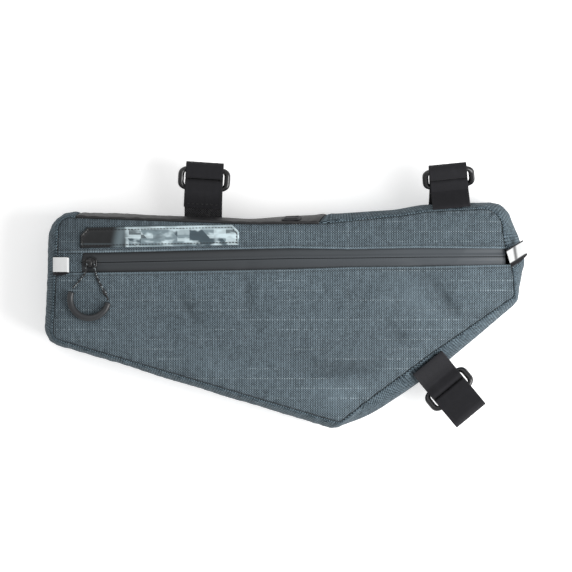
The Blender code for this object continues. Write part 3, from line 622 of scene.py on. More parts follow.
def carried(path, across, section, section_places, closed=False, scale=None):
    """A section carried along a path: each ring is path + across * s + (across x forward) * h."""
    path = np.asarray(path, float)
    if closed:
        forward = np.roll(path, -1, axis=0) - np.roll(path, 1, axis=0)
    else:
        forward = np.gradient(path, axis=0)
    across = np.broadcast_to(np.asarray(across, float), path.shape)
    lift = unit(np.cross(across, forward))
    size = np.ones(len(path)) if scale is None else scale
    rings = path[:, None] + (across[:, None] * section[None, :, 0:1] + lift[:, None] * section[None, :, 1:2]) * size[
        :, None, None
    ]
    ends = path[:1] if closed else path[:0]
    gone = np.concatenate(([0], np.cumsum(np.linalg.norm(np.diff(np.concatenate((path, ends)), axis=0), axis=1))))
    places = np.stack(np.meshgrid(gone, section_places, indexing="ij"), axis=-1)
    return tube_form(rings, places, closed)


def round_section(radius, count):
    """A circle's points, and their lengths round it."""
    around = np.linspace(0, TURN, count + 1)
    section = np.stack((np.cos(around), np.sin(around)), axis=1) * radius
    return section[:-1], around * radius


def band_section(width, thickness, steps, ribs=0.0):
    """A flat band's section with round edges, and each point's place across it.

    Both faces dip between the edges by ribs, on a cosine of five waves.
    """
    across = np.linspace(-1, 1, steps + 1) * (width / 2 - thickness / 2)
    wave = -ribs * (0.5 + 0.5 * np.cos(across / width * TURN * 5))
    turn = np.radians(np.array((60, 30, 0, -30, -60)))
    edge = width / 2 - thickness / 2
    right = np.stack((edge + thickness / 2 * np.cos(turn), thickness / 2 * np.sin(turn)), axis=1)
    top = np.stack((across, thickness / 2 + wave), axis=1)
    bottom = np.stack((across[::-1], -thickness / 2 - wave), axis=1)
    left = right[::-1] * (-1, 1)
    section = np.concatenate((top, right, bottom, left))
    places = np.concatenate((section[:, 0], section[:1, 0]))
    return section, places


def blend_patch(bottom, top, left, right):
    """Grid points between four edge lines that share their corners (a Coons patch)."""
    u = np.linspace(0, 1, len(bottom))[None, :, None]
    v = np.linspace(0, 1, len(left))[:, None, None]
    rows = (1 - v) * bottom[None] + v * top[None]
    columns = (1 - u) * left[:, None] + u * right[:, None]
    low = (1 - u) * bottom[0] + u * bottom[-1]
    high = (1 - u) * top[0] + u * top[-1]
    return rows + columns - (1 - v) * low - v * high


def put_piece(name, form, finishes, replaces=(), wall=0.0, marks=None, relief_shade=None):
    """Makes a piece of the bag from a form, with a wall inside it if it has one."""
    mesh = bpy.data.meshes.new(name)
    faces = []
    for part in form.faces:
        faces += part.tolist()
    mesh.from_pydata((form.points + BAG_PLACE).tolist(), [], faces)
    layer = mesh.uv_layers.new(name="UVMap")
    corners = np.concatenate([part.reshape(-1, 2) for part in form.places])
    layer.data.foreach_set("uv", corners.astype(np.float32).ravel())
    # The painted shade and light that the cloth's material reads from the mesh.
    if relief_shade is not None:
        mesh.attributes.new("relief_shade", "FLOAT", "POINT").data.foreach_set("value", relief_shade.astype(np.float32).ravel())
    for finish in finishes:
        mesh.materials.append(finish)
    if marks is not None:
        mesh.polygons.foreach_set("material_index", marks.astype(np.int32))
    mesh.shade_smooth()
    mesh.set_sharp_from_angle(angle=math.radians(50))
    if mesh.validate():
        raise RuntimeError(f"{name} has faces that had to be mended")
    piece = bpy.data.objects.new(name, mesh)
    bpy.context.scene.collection.objects.link(piece)
    if wall:
        solid = piece.modifiers.new("wall", "SOLIDIFY")
        solid.thickness = wall
        solid.offset = -1.0
    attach(piece, "root")
    if replaces:
        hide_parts(*replaces)
    return piece


class Value:
    """A number socket of a sketch: a sum on it adds its Math nodes."""

    def __init__(self, sketch, socket):
        self.sketch = sketch
        self.socket = socket

    def math(self, operation, *others, clamp=False):
        settings = {"operation": operation, "use_clamp": clamp}
        return self.sketch.node("ShaderNodeMath", settings, dict(enumerate((self, *others))))

    def __add__(self, other):
        return self.math("ADD", other)

    __radd__ = __add__

    def __sub__(self, other):
        return self.math("SUBTRACT", other)

    def __rsub__(self, other):
        return self.math("MULTIPLY", -1.0) + other

    def __mul__(self, other):
        return self.math("MULTIPLY", other)

    __rmul__ = __mul__

    def __truediv__(self, other):
        return self.math("DIVIDE", other)

    def __abs__(self):
        return self.math("ABSOLUTE")

    def __gt__(self, other):
        return self.math("GREATER_THAN", other)

    def __lt__(self, other):
        return self.math("LESS_THAN", other)

    def sine(self):
        return self.math("SINE")

    def floor(self):
        return self.math("FLOOR")

    def fraction(self):
        return self.math("FRACT")

    def at_least(self, other):
        return self.math("MAXIMUM", other)

    def clamped(self):
        return self.math("ADD", 0.0, clamp=True)

    def step(self, low, high):
        """0 below low, 1 above high, smooth between."""
        values = {"Value": self, "From Min": low, "From Max": high, "To Min": 0.0, "To Max": 1.0}
        return self.sketch.node("ShaderNodeMapRange", {"interpolation_type": "SMOOTHSTEP"}, values)


class Sketch:
    """A material whose nodes are written as sums, and the one way that they are added."""

    def __init__(self, name, roughness, metallic=0.0, sheen=0.0, coat=0.0, specular=0.5):
        self.material = bpy.data.materials.new(name)
        self.material.use_nodes = True
        self.tree = self.material.node_tree
        self.shader = self.tree.nodes["Principled BSDF"]
        constants = {"Roughness": roughness, "Metallic": metallic, "Sheen Weight": sheen}
        constants |= {"Coat Weight": coat, "Specular IOR Level": specular}
        for name, value in constants.items():
            self.shader.inputs[name].default_value = value

    def node(self, kind, settings, values, output=0):
        """Adds a node, makes its settings, fills its sockets with values or links, and returns an output."""
        made = self.tree.nodes.new(kind)
        for name, value in settings.items():
            setattr(made, name, value)
        for key, value in values.items():
            if isinstance(value, Value):
                self.tree.links.new(value.socket, made.inputs[key])
            else:
                made.inputs[key].default_value = value
        return Value(self, made.outputs[output])

    def vector(self, *parts):
        return self.node("ShaderNodeCombineXYZ", {}, dict(enumerate(parts)))

    def split(self, vector):
        first = self.node("ShaderNodeSeparateXYZ", {}, {0: vector})
        return [Value(self, socket) for socket in first.socket.node.outputs]

    def map_place(self):
        """The piece's own map, in metres."""
        return self.split(self.node("ShaderNodeUVMap", {"uv_map": "UVMap"}, {}))[:2]

    def stored(self, name):
        """A number that the mesh holds at each of its points."""
        return self.node("ShaderNodeAttribute", {"attribute_name": name}, {}, 2)

    def object_place(self):
        return self.split(self.node("ShaderNodeTexCoord", {}, {}, "Object"))

    def noise(self, vector, scale, detail=2.0, roughness=0.5):
        values = {"Vector": vector, "Scale": scale, "Detail": detail, "Roughness": roughness}
        return self.node("ShaderNodeTexNoise", {"noise_dimensions": "3D"}, values)

    def scatter(self, *parts):
        """A number from 0 to 1 that is the same for equal parts and random otherwise."""
        values = {"Vector": self.vector(*parts)}
        return self.node("ShaderNodeTexWhiteNoise", {"noise_dimensions": "3D"}, values)

    def mix(self, factor, first, second):
        """The first colour at factor 0 and the second at 1."""
        return self.node("ShaderNodeMix", {"data_type": "RGBA"}, {0: factor, 6: first, 7: second}, 2)

    def paint(self, colour, roughness=None, height=None, depth=0.0002, strength=0.5):
        """Feeds the shader its colour, and what varies of its roughness and height."""
        if isinstance(colour, Value):
            self.tree.links.new(colour.socket, self.shader.inputs["Base Color"])
        else:
            self.shader.inputs["Base Color"].default_value = colour
        if roughness is not None:
            self.tree.links.new(roughness.clamped().socket, self.shader.inputs["Roughness"])
        if height is not None:
            bump = self.node("ShaderNodeBump", {}, {"Height": height, "Distance": depth, "Strength": strength})
            self.tree.links.new(bump.socket, self.shader.inputs["Normal"])
        return self.material


def shade(colour, factor):
    return (*(part * factor for part in colour[:3]), 1.0)


def made_once(name, make):
    """The named material, made by its function the first time."""
    return bpy.data.materials.get(name) or make(name)


def ripstop_cloth(name, deep=1.0, bold=1.0, gloss=1.0):
    """Heathered ripstop: a plain weave with a faint rib, crossed by a grid of lighter, broken yarns.

    The weave is a sine across the warp times a sine across the weft. Each rib and each row has a
    tone that drifts along it, and each crossing a fleck of its own. The grid's yarns show only on
    the ribs and only in long patches. The shade value stored on the mesh paints shade in hollows
    and light on ridges.
    """
    looks = bpy.context.scene.bag_cloth
    sketch = Sketch(name, 0.78, sheen=0.10 * gloss, specular=0.3 * gloss)
    u, v = sketch.map_place()
    a, b = u / looks.yarn, v / (looks.yarn * 0.94)
    rib = (a * PI).sine()
    over = rib * (b * PI).sine()
    column, row = (a * 0.5).floor(), b.floor()
    warp = sketch.noise(sketch.vector(column * 3.71, b * looks.yarn_drift, 2.0), 1.0, 1.0)
    weft = sketch.noise(sketch.vector(a * looks.yarn_drift, row * 3.37, 9.0), 1.0, 1.0)
    fleck = sketch.scatter(column, row, 1.0)
    patch = sketch.noise(sketch.vector(u * 0.3, v * 1.6, 0.0), 42.0, 2.0)
    patch_up = sketch.noise(sketch.vector(u * 1.6, v * 0.3, 6.0), 42.0, 2.0)
    streaks = (warp - 0.5) * looks.streak + (weft - 0.5) * looks.streak * 0.5
    tone = rib * (warp - 0.1) * looks.rib + over * (weft + 0.1) * looks.weave + streaks + (fleck - 0.5) * looks.fleck
    line_u = abs((u / looks.grid).fraction() - 0.5) * looks.grid < looks.yarn * 0.5
    line_v = abs((v / looks.grid).fraction() - 0.5) * looks.grid < looks.yarn * 0.34
    broken = (line_v * (rib > -0.1) * patch.step(0.42, 0.60)).at_least(line_u * (over > 0.1) * patch_up.step(0.50, 0.66) * 0.7)
    lines = broken * (0.10 + fleck * 0.58)
    colour = sketch.mix((0.42 + tone * bold).clamped(), shade(looks.dark, deep), shade(looks.light, deep))
    colour = sketch.mix(lines.clamped(), colour, shade(looks.line, deep))
    wide = sketch.noise(sketch.vector(u, v, 3.0), 9.0, 2.0)
    colour = sketch.mix((wide - 0.42).clamped() * 0.4, colour, shade(looks.dark, deep))
    # Painted light on ridges and painted shade in hollows, creases, the stitch groove and the seam's edge, from the
    # shade value that the mesh stores.
    relief_shade = sketch.stored("relief_shade")
    colour = sketch.mix(relief_shade.clamped() * 0.5, colour, shade(looks.light, deep * 1.3))
    colour = sketch.mix((relief_shade * -0.75).clamped(), colour, shade(looks.dark, deep))
    height = rib * 0.45 + abs(over) * 0.35 + (warp - 0.5) * 0.4 + lines * 0.35
    return sketch.paint(colour, 0.74 + (fleck - 0.5) * 0.16, height, looks.weave_depth, 0.5)


def wall_cloth(name):
    """The same cloth on the side wall: a shade darker as painted shade, with a bolder weave and less sheen."""
    return ripstop_cloth(name, 0.86, 2.3, 0.2)


def coated_cloth(name):
    """Black cloth under a thin film: a faint weave, soft creases and a satin sheen that wears dull."""
    looks = bpy.context.scene.bag_trim
    sketch = Sketch(name, 0.5, specular=0.45)
    u, v = sketch.map_place()
    a, b = u / looks.coated_yarn, v / looks.coated_yarn
    over = abs((a * PI).sine() * (b * PI).sine())
    creases = sketch.noise(sketch.vector(u * 0.6, v, 0.0), 240.0, 4.0, 0.6)
    worn = sketch.noise(sketch.vector(u, v, 5.0), 45.0, 3.0)
    colour = sketch.mix((worn - 0.35) * 0.9, looks.coated, shade(looks.coated, 1.7))
    return sketch.paint(colour, 0.42 + worn * 0.25, over * 0.35 + creases * 0.9, 0.00025, 0.45)


def zip_film(name):
    """The zip's matt film: a fine rib over the coil, a dark slit, and a duller band of painted shadow at each hem."""
    looks = bpy.context.scene.bag_trim
    sketch = Sketch(name, 0.46, specular=0.5)
    u, v = sketch.map_place()
    ribs = (u * (TURN / looks.coil_pitch)).sine()
    near = 1.0 - abs(v).step(0.0008, 0.0030)
    grain = sketch.noise(sketch.vector(u, v * 3.0, 0.0), 900.0, 2.0)
    cloud = sketch.noise(sketch.vector(u * 0.3, v * 2.0, 4.0), 60.0, 2.0)
    slit = 1.0 - abs(v).step(0.00018, 0.00050)
    far = abs(v).step(0.0036, 0.0080)
    colour = sketch.mix((cloud - 0.4) * 0.8, looks.film, shade(looks.film, 1.35))
    # Painted shadow: darker towards each hem, where the hem's edge shades the film. The film is also duller there.
    colour = sketch.mix(far * 0.75, colour, shade(looks.film, 0.35))
    # Painted light: lighter towards the right end, where the film reflects more light.
    colour = sketch.mix(u.step(-0.12, 0.19) * 0.9, colour, shade(looks.film, 2.5))
    # Painted shadow over the film's last few millimetres at its right end.
    colour = sketch.mix(u.step(0.1830, 0.1880) * 0.9, colour, shade(looks.film, 0.3))
    colour = sketch.mix(slit * 0.3, colour, (0.004, 0.004, 0.005, 1.0))
    # Painted highlight: a light line along the coil's ridge on each side of the slit.
    colour = sketch.mix((abs(v).step(0.00045, 0.0007) - abs(v).step(0.0009, 0.0014)) * 0.12, colour, shade(looks.film, 2.6))
    return sketch.paint(colour, 0.40 + grain * 0.12 + far * 0.2, ribs * near * 0.5 + grain * 0.35, 0.00010, 0.5)


def black_metal(name):
    """Lacquered metal: deep black and glossy, with an orange-peel skin and pale spots of painted glint, rougher
    there.
    """
    looks = bpy.context.scene.bag_trim
    sketch = Sketch(name, 0.25, coat=0.25, specular=0.48)
    x, y, z = sketch.object_place()
    place = sketch.vector(x, y, z)
    peel = sketch.noise(place, 900.0, 2.0)
    worn = sketch.noise(place, 260.0, 4.0, 0.65)
    # Painted highlight: pale glints in spots picked from the noise, which also make the lacquer rougher there.
    glint_spots = worn.step(0.62, 0.74)
    colour = sketch.mix(glint_spots * 0.5, looks.metal, shade(looks.metal, 9.0))
    return sketch.paint(colour, 0.20 + peel * 0.16 + glint_spots * 0.2, peel, 0.00008, 0.35)


def grip_rubber(name):
    """Moulded rubber: dark grey and satin, with a fine sand-blasted skin."""
    looks = bpy.context.scene.bag_trim
    sketch = Sketch(name, 0.4, specular=0.55)
    x, y, z = sketch.object_place()
    place = sketch.vector(x, y, z)
    sand = sketch.noise(place, 2600.0, 2.0)
    dust = sketch.noise(place, 190.0, 3.0)
    colour = sketch.mix((dust - 0.4) * 0.7, looks.rubber, shade(looks.rubber, 1.5))
    return sketch.paint(colour, 0.32 + sand * 0.16, sand, 0.00008, 0.4)


def port_rubber(name):
    """The port's black rubber: matt, with a fine skin."""
    sketch = Sketch(name, 0.55, specular=0.4)
    x, y, z = sketch.object_place()
    place = sketch.vector(x, y, z)
    sand = sketch.noise(place, 1800.0, 2.0)
    black = bpy.context.scene.bag_trim.webbing
    return sketch.paint(sketch.mix(sand * 0.6, black, shade(black, 1.9)), 0.48 + sand * 0.2, sand, 0.0001, 0.4)


def braided_cord(name):
    """A braid: two sets of strands cross in diamonds, and every few a pale strand shows as a fleck."""
    looks = bpy.context.scene.bag_trim
    sketch = Sketch(name, 0.75, sheen=0.1)
    u, v = sketch.map_place()
    around = v / (PI * CORD_DIAMETER)
    along = u / looks.braid_pitch
    left = ((along + around * 2.0) * TURN).sine()
    right = ((along - around * 2.0) * TURN).sine()
    cross = left * right
    cell_one = (along + around * 2.0).floor()
    cell_two = (along - around * 2.0).floor()
    pale = sketch.scatter(cell_one, cell_two, 3.0) > 0.84
    colour = sketch.mix((cross * 0.5 + 0.5) * 0.6, shade(looks.webbing, 0.8), shade(looks.webbing, 2.2))
    colour = sketch.mix(pale * 0.8, colour, (0.36, 0.42, 0.44, 1.0))
    return sketch.paint(colour, 0.7 + cross * 0.08, cross, 0.00022, 0.8)


def strap_webbing(name):
    """Woven webbing: weft ribs over a herringbone of warp yarns, dusty, with a firm edge."""
    looks = bpy.context.scene.bag_trim
    sketch = Sketch(name, 0.8, sheen=0.05, specular=0.16)
    u, v = sketch.map_place()
    bands = abs((v / looks.herring).fraction() - 0.5) * 2.0
    slope = (u + bands * looks.herring * 0.5) / looks.web_rib
    ribs = (slope * TURN).sine()
    warp = (v / looks.web_rib * TURN * 1.5).sine()
    fuzz = sketch.noise(sketch.vector(u, v, 0.0), 1500.0, 3.0)
    dust = sketch.noise(sketch.vector(u, v, 7.0), 120.0, 3.0)
    edge = abs(v).step(STRAP_WIDTH / 2 - 0.0022, STRAP_WIDTH / 2 - 0.0012)
    tone = ribs * 0.30 + warp * 0.18 + (fuzz - 0.5) * 1.1
    colour = sketch.mix((0.45 + tone * 0.5).clamped(), shade(looks.webbing, 0.55), shade(looks.webbing, 1.9))
    colour = sketch.mix((dust - 0.5).clamped() * 0.5, colour, shade(looks.webbing, 3.0))
    height = ribs * 0.5 + warp * 0.3 + fuzz * 0.5 + edge * 0.5
    return sketch.paint(colour, 0.72 + fuzz * 0.2, height, 0.00022, 0.6)


def hook_webbing(name):
    """The hooked face of a strap: short bristles in rows, which break the light into dots."""
    looks = bpy.context.scene.bag_trim
    sketch = Sketch(name, 0.7, specular=0.4)
    u, v = sketch.map_place()
    a, b = u / looks.hook_pitch, v / looks.hook_pitch
    jitter = sketch.scatter(a.floor(), b.floor(), 4.0)
    dots = ((a * TURN).sine() * (b * TURN).sine()) * (0.5 + jitter)
    colour = sketch.mix((dots * 0.7 + 0.12).clamped(), shade(looks.webbing, 0.2), shade(looks.webbing, 3.2))
    return sketch.paint(colour, 0.55 + jitter * 0.3, dots, 0.0004, 0.8)


def reflective_tape(name, crease=None):
    """Reflective tape: pale beads under a diamond lattice. A creased one has painted shade along its fold, and black
    edges.
    """
    looks = bpy.context.scene.bag_trim
    sketch = Sketch(name, 0.38, specular=0.6)
    u, v = sketch.map_place()
    one = abs(((u + v) / looks.lattice).fraction() - 0.5)
    two = abs(((u - v) / looks.lattice).fraction() - 0.5)
    net = 1.0 - (one.step(0.02, 0.10) * two.step(0.02, 0.10))
    beads = sketch.noise(sketch.vector(u, v, 0.0), 2200.0, 2.0)
    scuff = sketch.noise(sketch.vector(u, v * 0.4, 2.0), 300.0, 3.0)
    colour = sketch.mix(net * 0.10 + (scuff - 0.45) * 0.35, looks.tape, shade(looks.tape, 0.62))
    if crease is not None:
        # Painted shade along the crease where the tape folds over; the edges are the tape's own black.
        fold = 1.0 - abs(u + v * 0.15 - crease).step(0.0003, 0.0026)
        dark = (fold * 0.8).at_least(abs(v).step(TAB_WIDTH / 2 - 0.0016, TAB_WIDTH / 2 - 0.0010))
        colour = sketch.mix(dark, colour, looks.webbing)
    return sketch.paint(colour, 0.30 + beads * 0.2 + net * 0.1, beads * 0.5 - net * 0.6, 0.00008, 0.4)


def tape_back(name):
    """The woven back of the reflective tape."""
    looks = bpy.context.scene.bag_trim
    sketch = Sketch(name, 0.8, specular=0.3)
    u, v = sketch.map_place()
    weave = (u / looks.coated_yarn * PI).sine() * (v / looks.coated_yarn * PI).sine()
    colour = sketch.mix(abs(weave), shade(looks.webbing, 0.5), shade(looks.webbing, 1.6))
    return sketch.paint(colour, 0.72 + weave * 0.08, abs(weave), 0.00015, 0.6)


def label_face(name):
    """The label: a dark glossy film that turns, past its end, into pale blocks of grey and blue.

    The blocks are random cells of two sizes, cut to four tones.
    """
    looks = bpy.context.scene.bag_trim
    sketch = Sketch(name, 0.3, coat=0.1, specular=0.35)
    u, v = sketch.map_place()
    slant = u + v * 0.9
    block = looks.block
    rows = (v / (block * 0.8)).floor()
    shift = sketch.scatter(rows, 5.0, 1.0)
    large = sketch.scatter(((slant + shift * block * 2.0) / (block * 2.6)).floor(), rows, 0.0)
    small = sketch.scatter((u / block).floor(), (v / (block * 0.55)).floor(), 2.0)
    haze = sketch.noise(sketch.vector(u, v * 2.0, 0.0), 75.0, 2.0)
    pick = large * 0.62 + small * 0.38
    pale = sketch.mix(pick.step(0.24, 0.34), looks.label_blue, looks.label_grey)
    pale = sketch.mix(pick.step(0.46, 0.54), pale, looks.label_pale)
    pale = sketch.mix(pick.step(0.76, 0.84) * 0.8, pale, shade(looks.label_blue, 0.5))
    pale = sketch.mix(haze.step(0.50, 0.66) * 0.8, pale, shade(looks.label_pale, 1.4))
    pale = sketch.mix((1.0 - haze.step(0.30, 0.46)) * 0.6, pale, shade(looks.label_blue, 0.8))
    smoke = sketch.noise(sketch.vector(u * 2.0, v, 6.0), 120.0, 2.0)
    dark = sketch.mix((smoke - 0.4) * 0.9, looks.label_dark, shade(looks.label_dark, 2.2))
    # Painted highlight: a soft band of reflection across the dark film before its turn, and a faint line of it near
    # the lower edge.
    gleam = (1.0 - abs(u - v * 0.2 - 0.0305).step(0.0, 0.0080)).at_least((1.0 - abs(v - 0.0032).step(0.0, 0.0012)) * 0.35)
    dark = sketch.mix(gleam * 0.55, dark, shade(looks.label_grey, 1.2))
    turn = (u + (v / (block * 0.8)).floor() * 0.0004).step(looks.label_turn - 0.0012, looks.label_turn + 0.0012)
    # Painted highlight along the raised rim at the top and bottom edges of the pale part.
    rim = abs(v - LABEL_HEIGHT / 2).step(LABEL_HEIGHT / 2 - 0.0022, LABEL_HEIGHT / 2 - 0.0012)
    pale = sketch.mix(rim * 0.55, pale, shade(looks.label_pale, 1.25))
    colour = sketch.mix(turn, dark, pale)
    scratches = sketch.noise(sketch.vector(u * 0.2, v * 2.0, 1.0), 900.0, 2.0)
    return sketch.paint(colour, 0.24 + scratches * 0.16 + turn * 0.08, scratches + pick * turn * 0.6, 0.00006, 0.3)


def sewing_thread(name, colour):
    """Twisted thread: slanted plies along each stitch."""
    sketch = Sketch(name, 0.6, sheen=0.15)
    x, y, z = sketch.object_place()
    plies = ((x + y + z) * (TURN / 0.0006)).sine()
    tone = sketch.noise(sketch.vector(x, y, z), 500.0, 2.0)
    mixed = sketch.mix((plies * 0.3 + tone).clamped(), shade(colour, 0.6), shade(colour, 1.5))
    return sketch.paint(mixed, 0.5 + tone * 0.2, plies, 0.0001, 0.4)


def grey_thread(name):
    return sewing_thread(name, bpy.context.scene.bag_cloth.thread)


def seam_thread(name):
    return sewing_thread(name, shade(bpy.context.scene.bag_cloth.dark, 0.6))


def black_thread(name):
    return sewing_thread(name, bpy.context.scene.bag_trim.webbing)


def strap_thread(name):
    return sewing_thread(name, shade(bpy.context.scene.bag_trim.webbing, 0.15))


def pale_floor(name):
    """A plain pale sheet with the faintest mottling, lit from below like a light table."""
    stage = bpy.context.scene.bag_stage
    sketch = Sketch(name, 0.95, specular=0.0)
    x, y, _ = sketch.object_place()
    cloud = sketch.noise(sketch.vector(x, y, 0.0), 3.0, 2.0)
    sketch.shader.inputs["Emission Color"].default_value = (1.0, 1.0, 1.0, 1.0)
    sketch.shader.inputs["Emission Strength"].default_value = stage.glow
    return sketch.paint(sketch.mix(cloud * 0.2, stage.floor, shade(stage.floor, 0.99)), 0.93 + cloud * 0.04)


def length(name, description, default):
    return FloatProperty(name=name, description=description, default=default, min=0.0, precision=5, unit="LENGTH")


def tint(name, description, default):
    return FloatVectorProperty(
        name=name, description=description, default=(*default, 1.0), size=4, min=0.0, max=1.0, subtype="COLOR"
    )


class BagCloth(bpy.types.PropertyGroup):
    """The grey cloth's weave, folds and colours."""

    yarn: length("Yarn", "Width of one yarn of the weave", 0.00099)
    grid: length("Grid", "Distance between the lighter yarns", 0.00792)
    weave_depth: length("Weave depth", "Height of the weave's bumps", 0.00022)
    yarn_drift: FloatProperty(name="Drift", description="How fast a yarn's tone changes along it", default=0.11)
    rib: FloatProperty(name="Rib", description="Strength of the ribs' own shade", default=0.70)
    weave: FloatProperty(name="Weave", description="Strength of the crossings' own shade", default=1.2)
    streak: FloatProperty(name="Streak", description="Strength of the tone of whole yarns", default=0.42)
    fleck: FloatProperty(name="Fleck", description="Strength of the tone of single crossings", default=0.30)
    crease: FloatProperty(name="Crease", description="Strength of the small creases", default=1.5)
    crumple: length("Crumple", "Height of the front's soft unevenness", 0.00045)
    pucker: length("Pucker", "Height of the gathers beside the seams", 0.00032)
    dark: tint("Dark yarn", "The darkest heather tone", (0.011, 0.017, 0.022))
    light: tint("Light yarn", "The lightest heather tone", (0.158, 0.211, 0.246))
    line: tint("Grid yarn", "The lighter yarns of the grid", (0.37, 0.44, 0.47))
    thread: tint("Thread", "The topstitching thread", (0.075, 0.094, 0.106))


class BagTrim(bpy.types.PropertyGroup):
    """The trim: film, metal, rubber, webbing, tape and label."""

    coated_yarn: length("Coated yarn", "Width of one yarn under the film", 0.0006)
    coil_pitch: length("Coil pitch", "Distance between the zip's coils", 0.0013)
    braid_pitch: length("Braid pitch", "Distance between the cord's crossings", 0.0011)
    web_rib: length("Webbing rib", "Distance between the webbing's ribs", 0.0011)
    herring: length("Herringbone", "Width of one band of the herringbone", 0.0052)
    hook_pitch: length("Hook pitch", "Distance between the hooks", 0.0019)
    lattice: length("Lattice", "Size of the reflective tape's diamonds", 0.0016)
    block: length("Label block", "Width of one block of the label's pattern", 0.0098)
    label_turn: length("Label turn", "How far along the label the dark part ends", 0.0368)
    coated: tint("Coated cloth", "The black film cloth", (0.010, 0.010, 0.011))
    film: tint("Zip film", "The zip's film", (0.024, 0.028, 0.032))
    metal: tint("Metal", "The lacquered metal", (0.007, 0.007, 0.008))
    rubber: tint("Rubber", "The zip pull's rubber", (0.022, 0.024, 0.027))
    webbing: tint("Webbing", "The straps", (0.0125, 0.0125, 0.0145))
    tape: tint("Tape", "The reflective tape", (0.68, 0.69, 0.69))
    label_dark: tint("Label dark", "The label's dark part", (0.008, 0.009, 0.010))
    label_pale: tint("Label pale", "The label's lightest blocks", (0.44, 0.53, 0.56))
    label_grey: tint("Label grey", "The label's middle blocks", (0.17, 0.225, 0.25))
    label_blue: tint("Label blue", "The label's darker blocks", (0.050, 0.076, 0.092))


class BagStage(bpy.types.PropertyGroup):
    """The camera, the floor and the lights."""

    lens: FloatProperty(name="Lens", description="Focal length in millimetres", default=400.0, min=20.0)
    view_width: length("View width", "Width that the camera sees at its focus height", 0.4636)
    focus_height: length("Focus height", "Height of the plane with that width", 0.036)
    aim_right: length("Aim right", "The view's middle, from the bag's own middle", 0.00162)
    aim_up: length("Aim up", "The view's middle, from the bag's own middle", 0.02329)
    key: FloatProperty(name="Key", description="Power of the key light in watts", default=12.5, min=0.0)
    fill: FloatProperty(name="Fill", description="Power of the fill light in watts", default=14.0, min=0.0)
    sky: FloatProperty(name="Sky", description="Strength of the even light", default=0.52, min=0.0)
    glow: FloatProperty(name="Glow", description="Strength of the floor's own light", default=0.34, min=0.0)
    floor: tint("Floor", "The floor's colour", (0.96, 0.96, 0.96))


def panel_sheet(bottom, top, left, right, side, seed):
    """One half of the front as a grid of points, its map, and the painted shade and light at each point.

    Height = the front's height + a soft random field + gathers that fade from the seam and from
    the hem + the hem's raised band with its stitch line. Both edges roll down on quarter circles.
    """
    looks = bpy.context.scene.bag_cloth
    grid = blend_patch(bottom, top, left, right)
    flat = grid.reshape(-1, 2)
    x, y = flat[:, 0], flat[:, 1]
    edge, along = line_distance(flat, PANEL_EDGE)
    hem = np.maximum(side * (y - hem_height(x, side)), 0.0)
    inner = 1 - np.exp(-np.minimum(edge, hem * 1.5) / 0.012)
    creases = looks.crease * inner * fold_sum(flat, CREASES)
    height = front_height(flat, edge) + creases
    height += looks.crumple * inner * wave_field(x, y, 0.046, seed)
    height += looks.crumple * 0.35 * inner * wave_field(x, y, 0.015, seed + 1)
    height += looks.pucker * np.exp(-edge / 0.0055) * wave_line(along, 0.0095, seed + 2)
    height += looks.pucker * 0.45 * np.exp(-hem / 0.0045) * wave_line(x, 0.0085, seed + 3)
    height += 0.00042 * (1 - smooth_step(hem, 0.0045, 0.0062))
    groove = bell(hem, STITCH_INSET, 0.00055) * (0.8 + 0.35 * np.cos(x * TURN / STITCH_PITCH))
    height -= 0.00032 * groove
    # Painted shade in the folds' hollows, the creases, the broad painted shadows, the stitch groove and along the
    # seam's edge, and painted light on ridges and on the hem's band.
    relief_shade = (inner * fold_sum(flat, FOLDS) + 0.7 * creases + fold_sum(flat, PAINTED_SHADOWS)) / FOLD_DEPTH * 0.42
    relief_shade += 0.7 * bell(hem, 0.0008, 0.0007) - 0.5 * bell(hem, STITCH_INSET, 0.0006) - 0.3 * np.exp(-edge / 0.0022)
    for distance, roll in ((edge, SEAM_ROLL), (hem, HEM_ROLL)):
        near = 1 - np.clip(distance / roll, 0, 1)
        height -= roll * (1 - np.sqrt(1 - near**2))
    points = np.stack((x, y, height), axis=1).reshape(*grid.shape[:2], 3)
    return points, grid, relief_shade


def edge_run(start, end, count, pull):
    places, _ = PANEL.even_places(start, end, count, pull)
    return PANEL.at(places)


def hem_run(start, end, side, count, pull):
    """Points along a hem line between two points of the panel's edge."""
    x = start[0] + (end[0] - start[0]) * end_heavy(count, pull)
    points = np.stack((x, hem_height(x, side)), axis=1)
    points[0], points[-1] = start, end
    return points


def hem_stitches(start, end, side, seed):
    """The topstitching along one hem, on the panel's own height there."""
    x = np.linspace(start[0] + 0.004, end[0] - 0.004, 500)
    y = hem_height(x, side) + side * STITCH_INSET
    looks = bpy.context.scene.bag_cloth
    height = front_height(np.stack((x, y), axis=1)) + 0.00018
    height += looks.pucker * 0.45 * math.exp(-STITCH_INSET / 0.0045) * wave_line(x, 0.0085, seed + 3)
    ups = np.tile((0.0, 0.0, 1.0), (len(x), 1))
    return stitch_row(np.stack((x, y, height), axis=1), ups, STITCH_PITCH, THREAD)


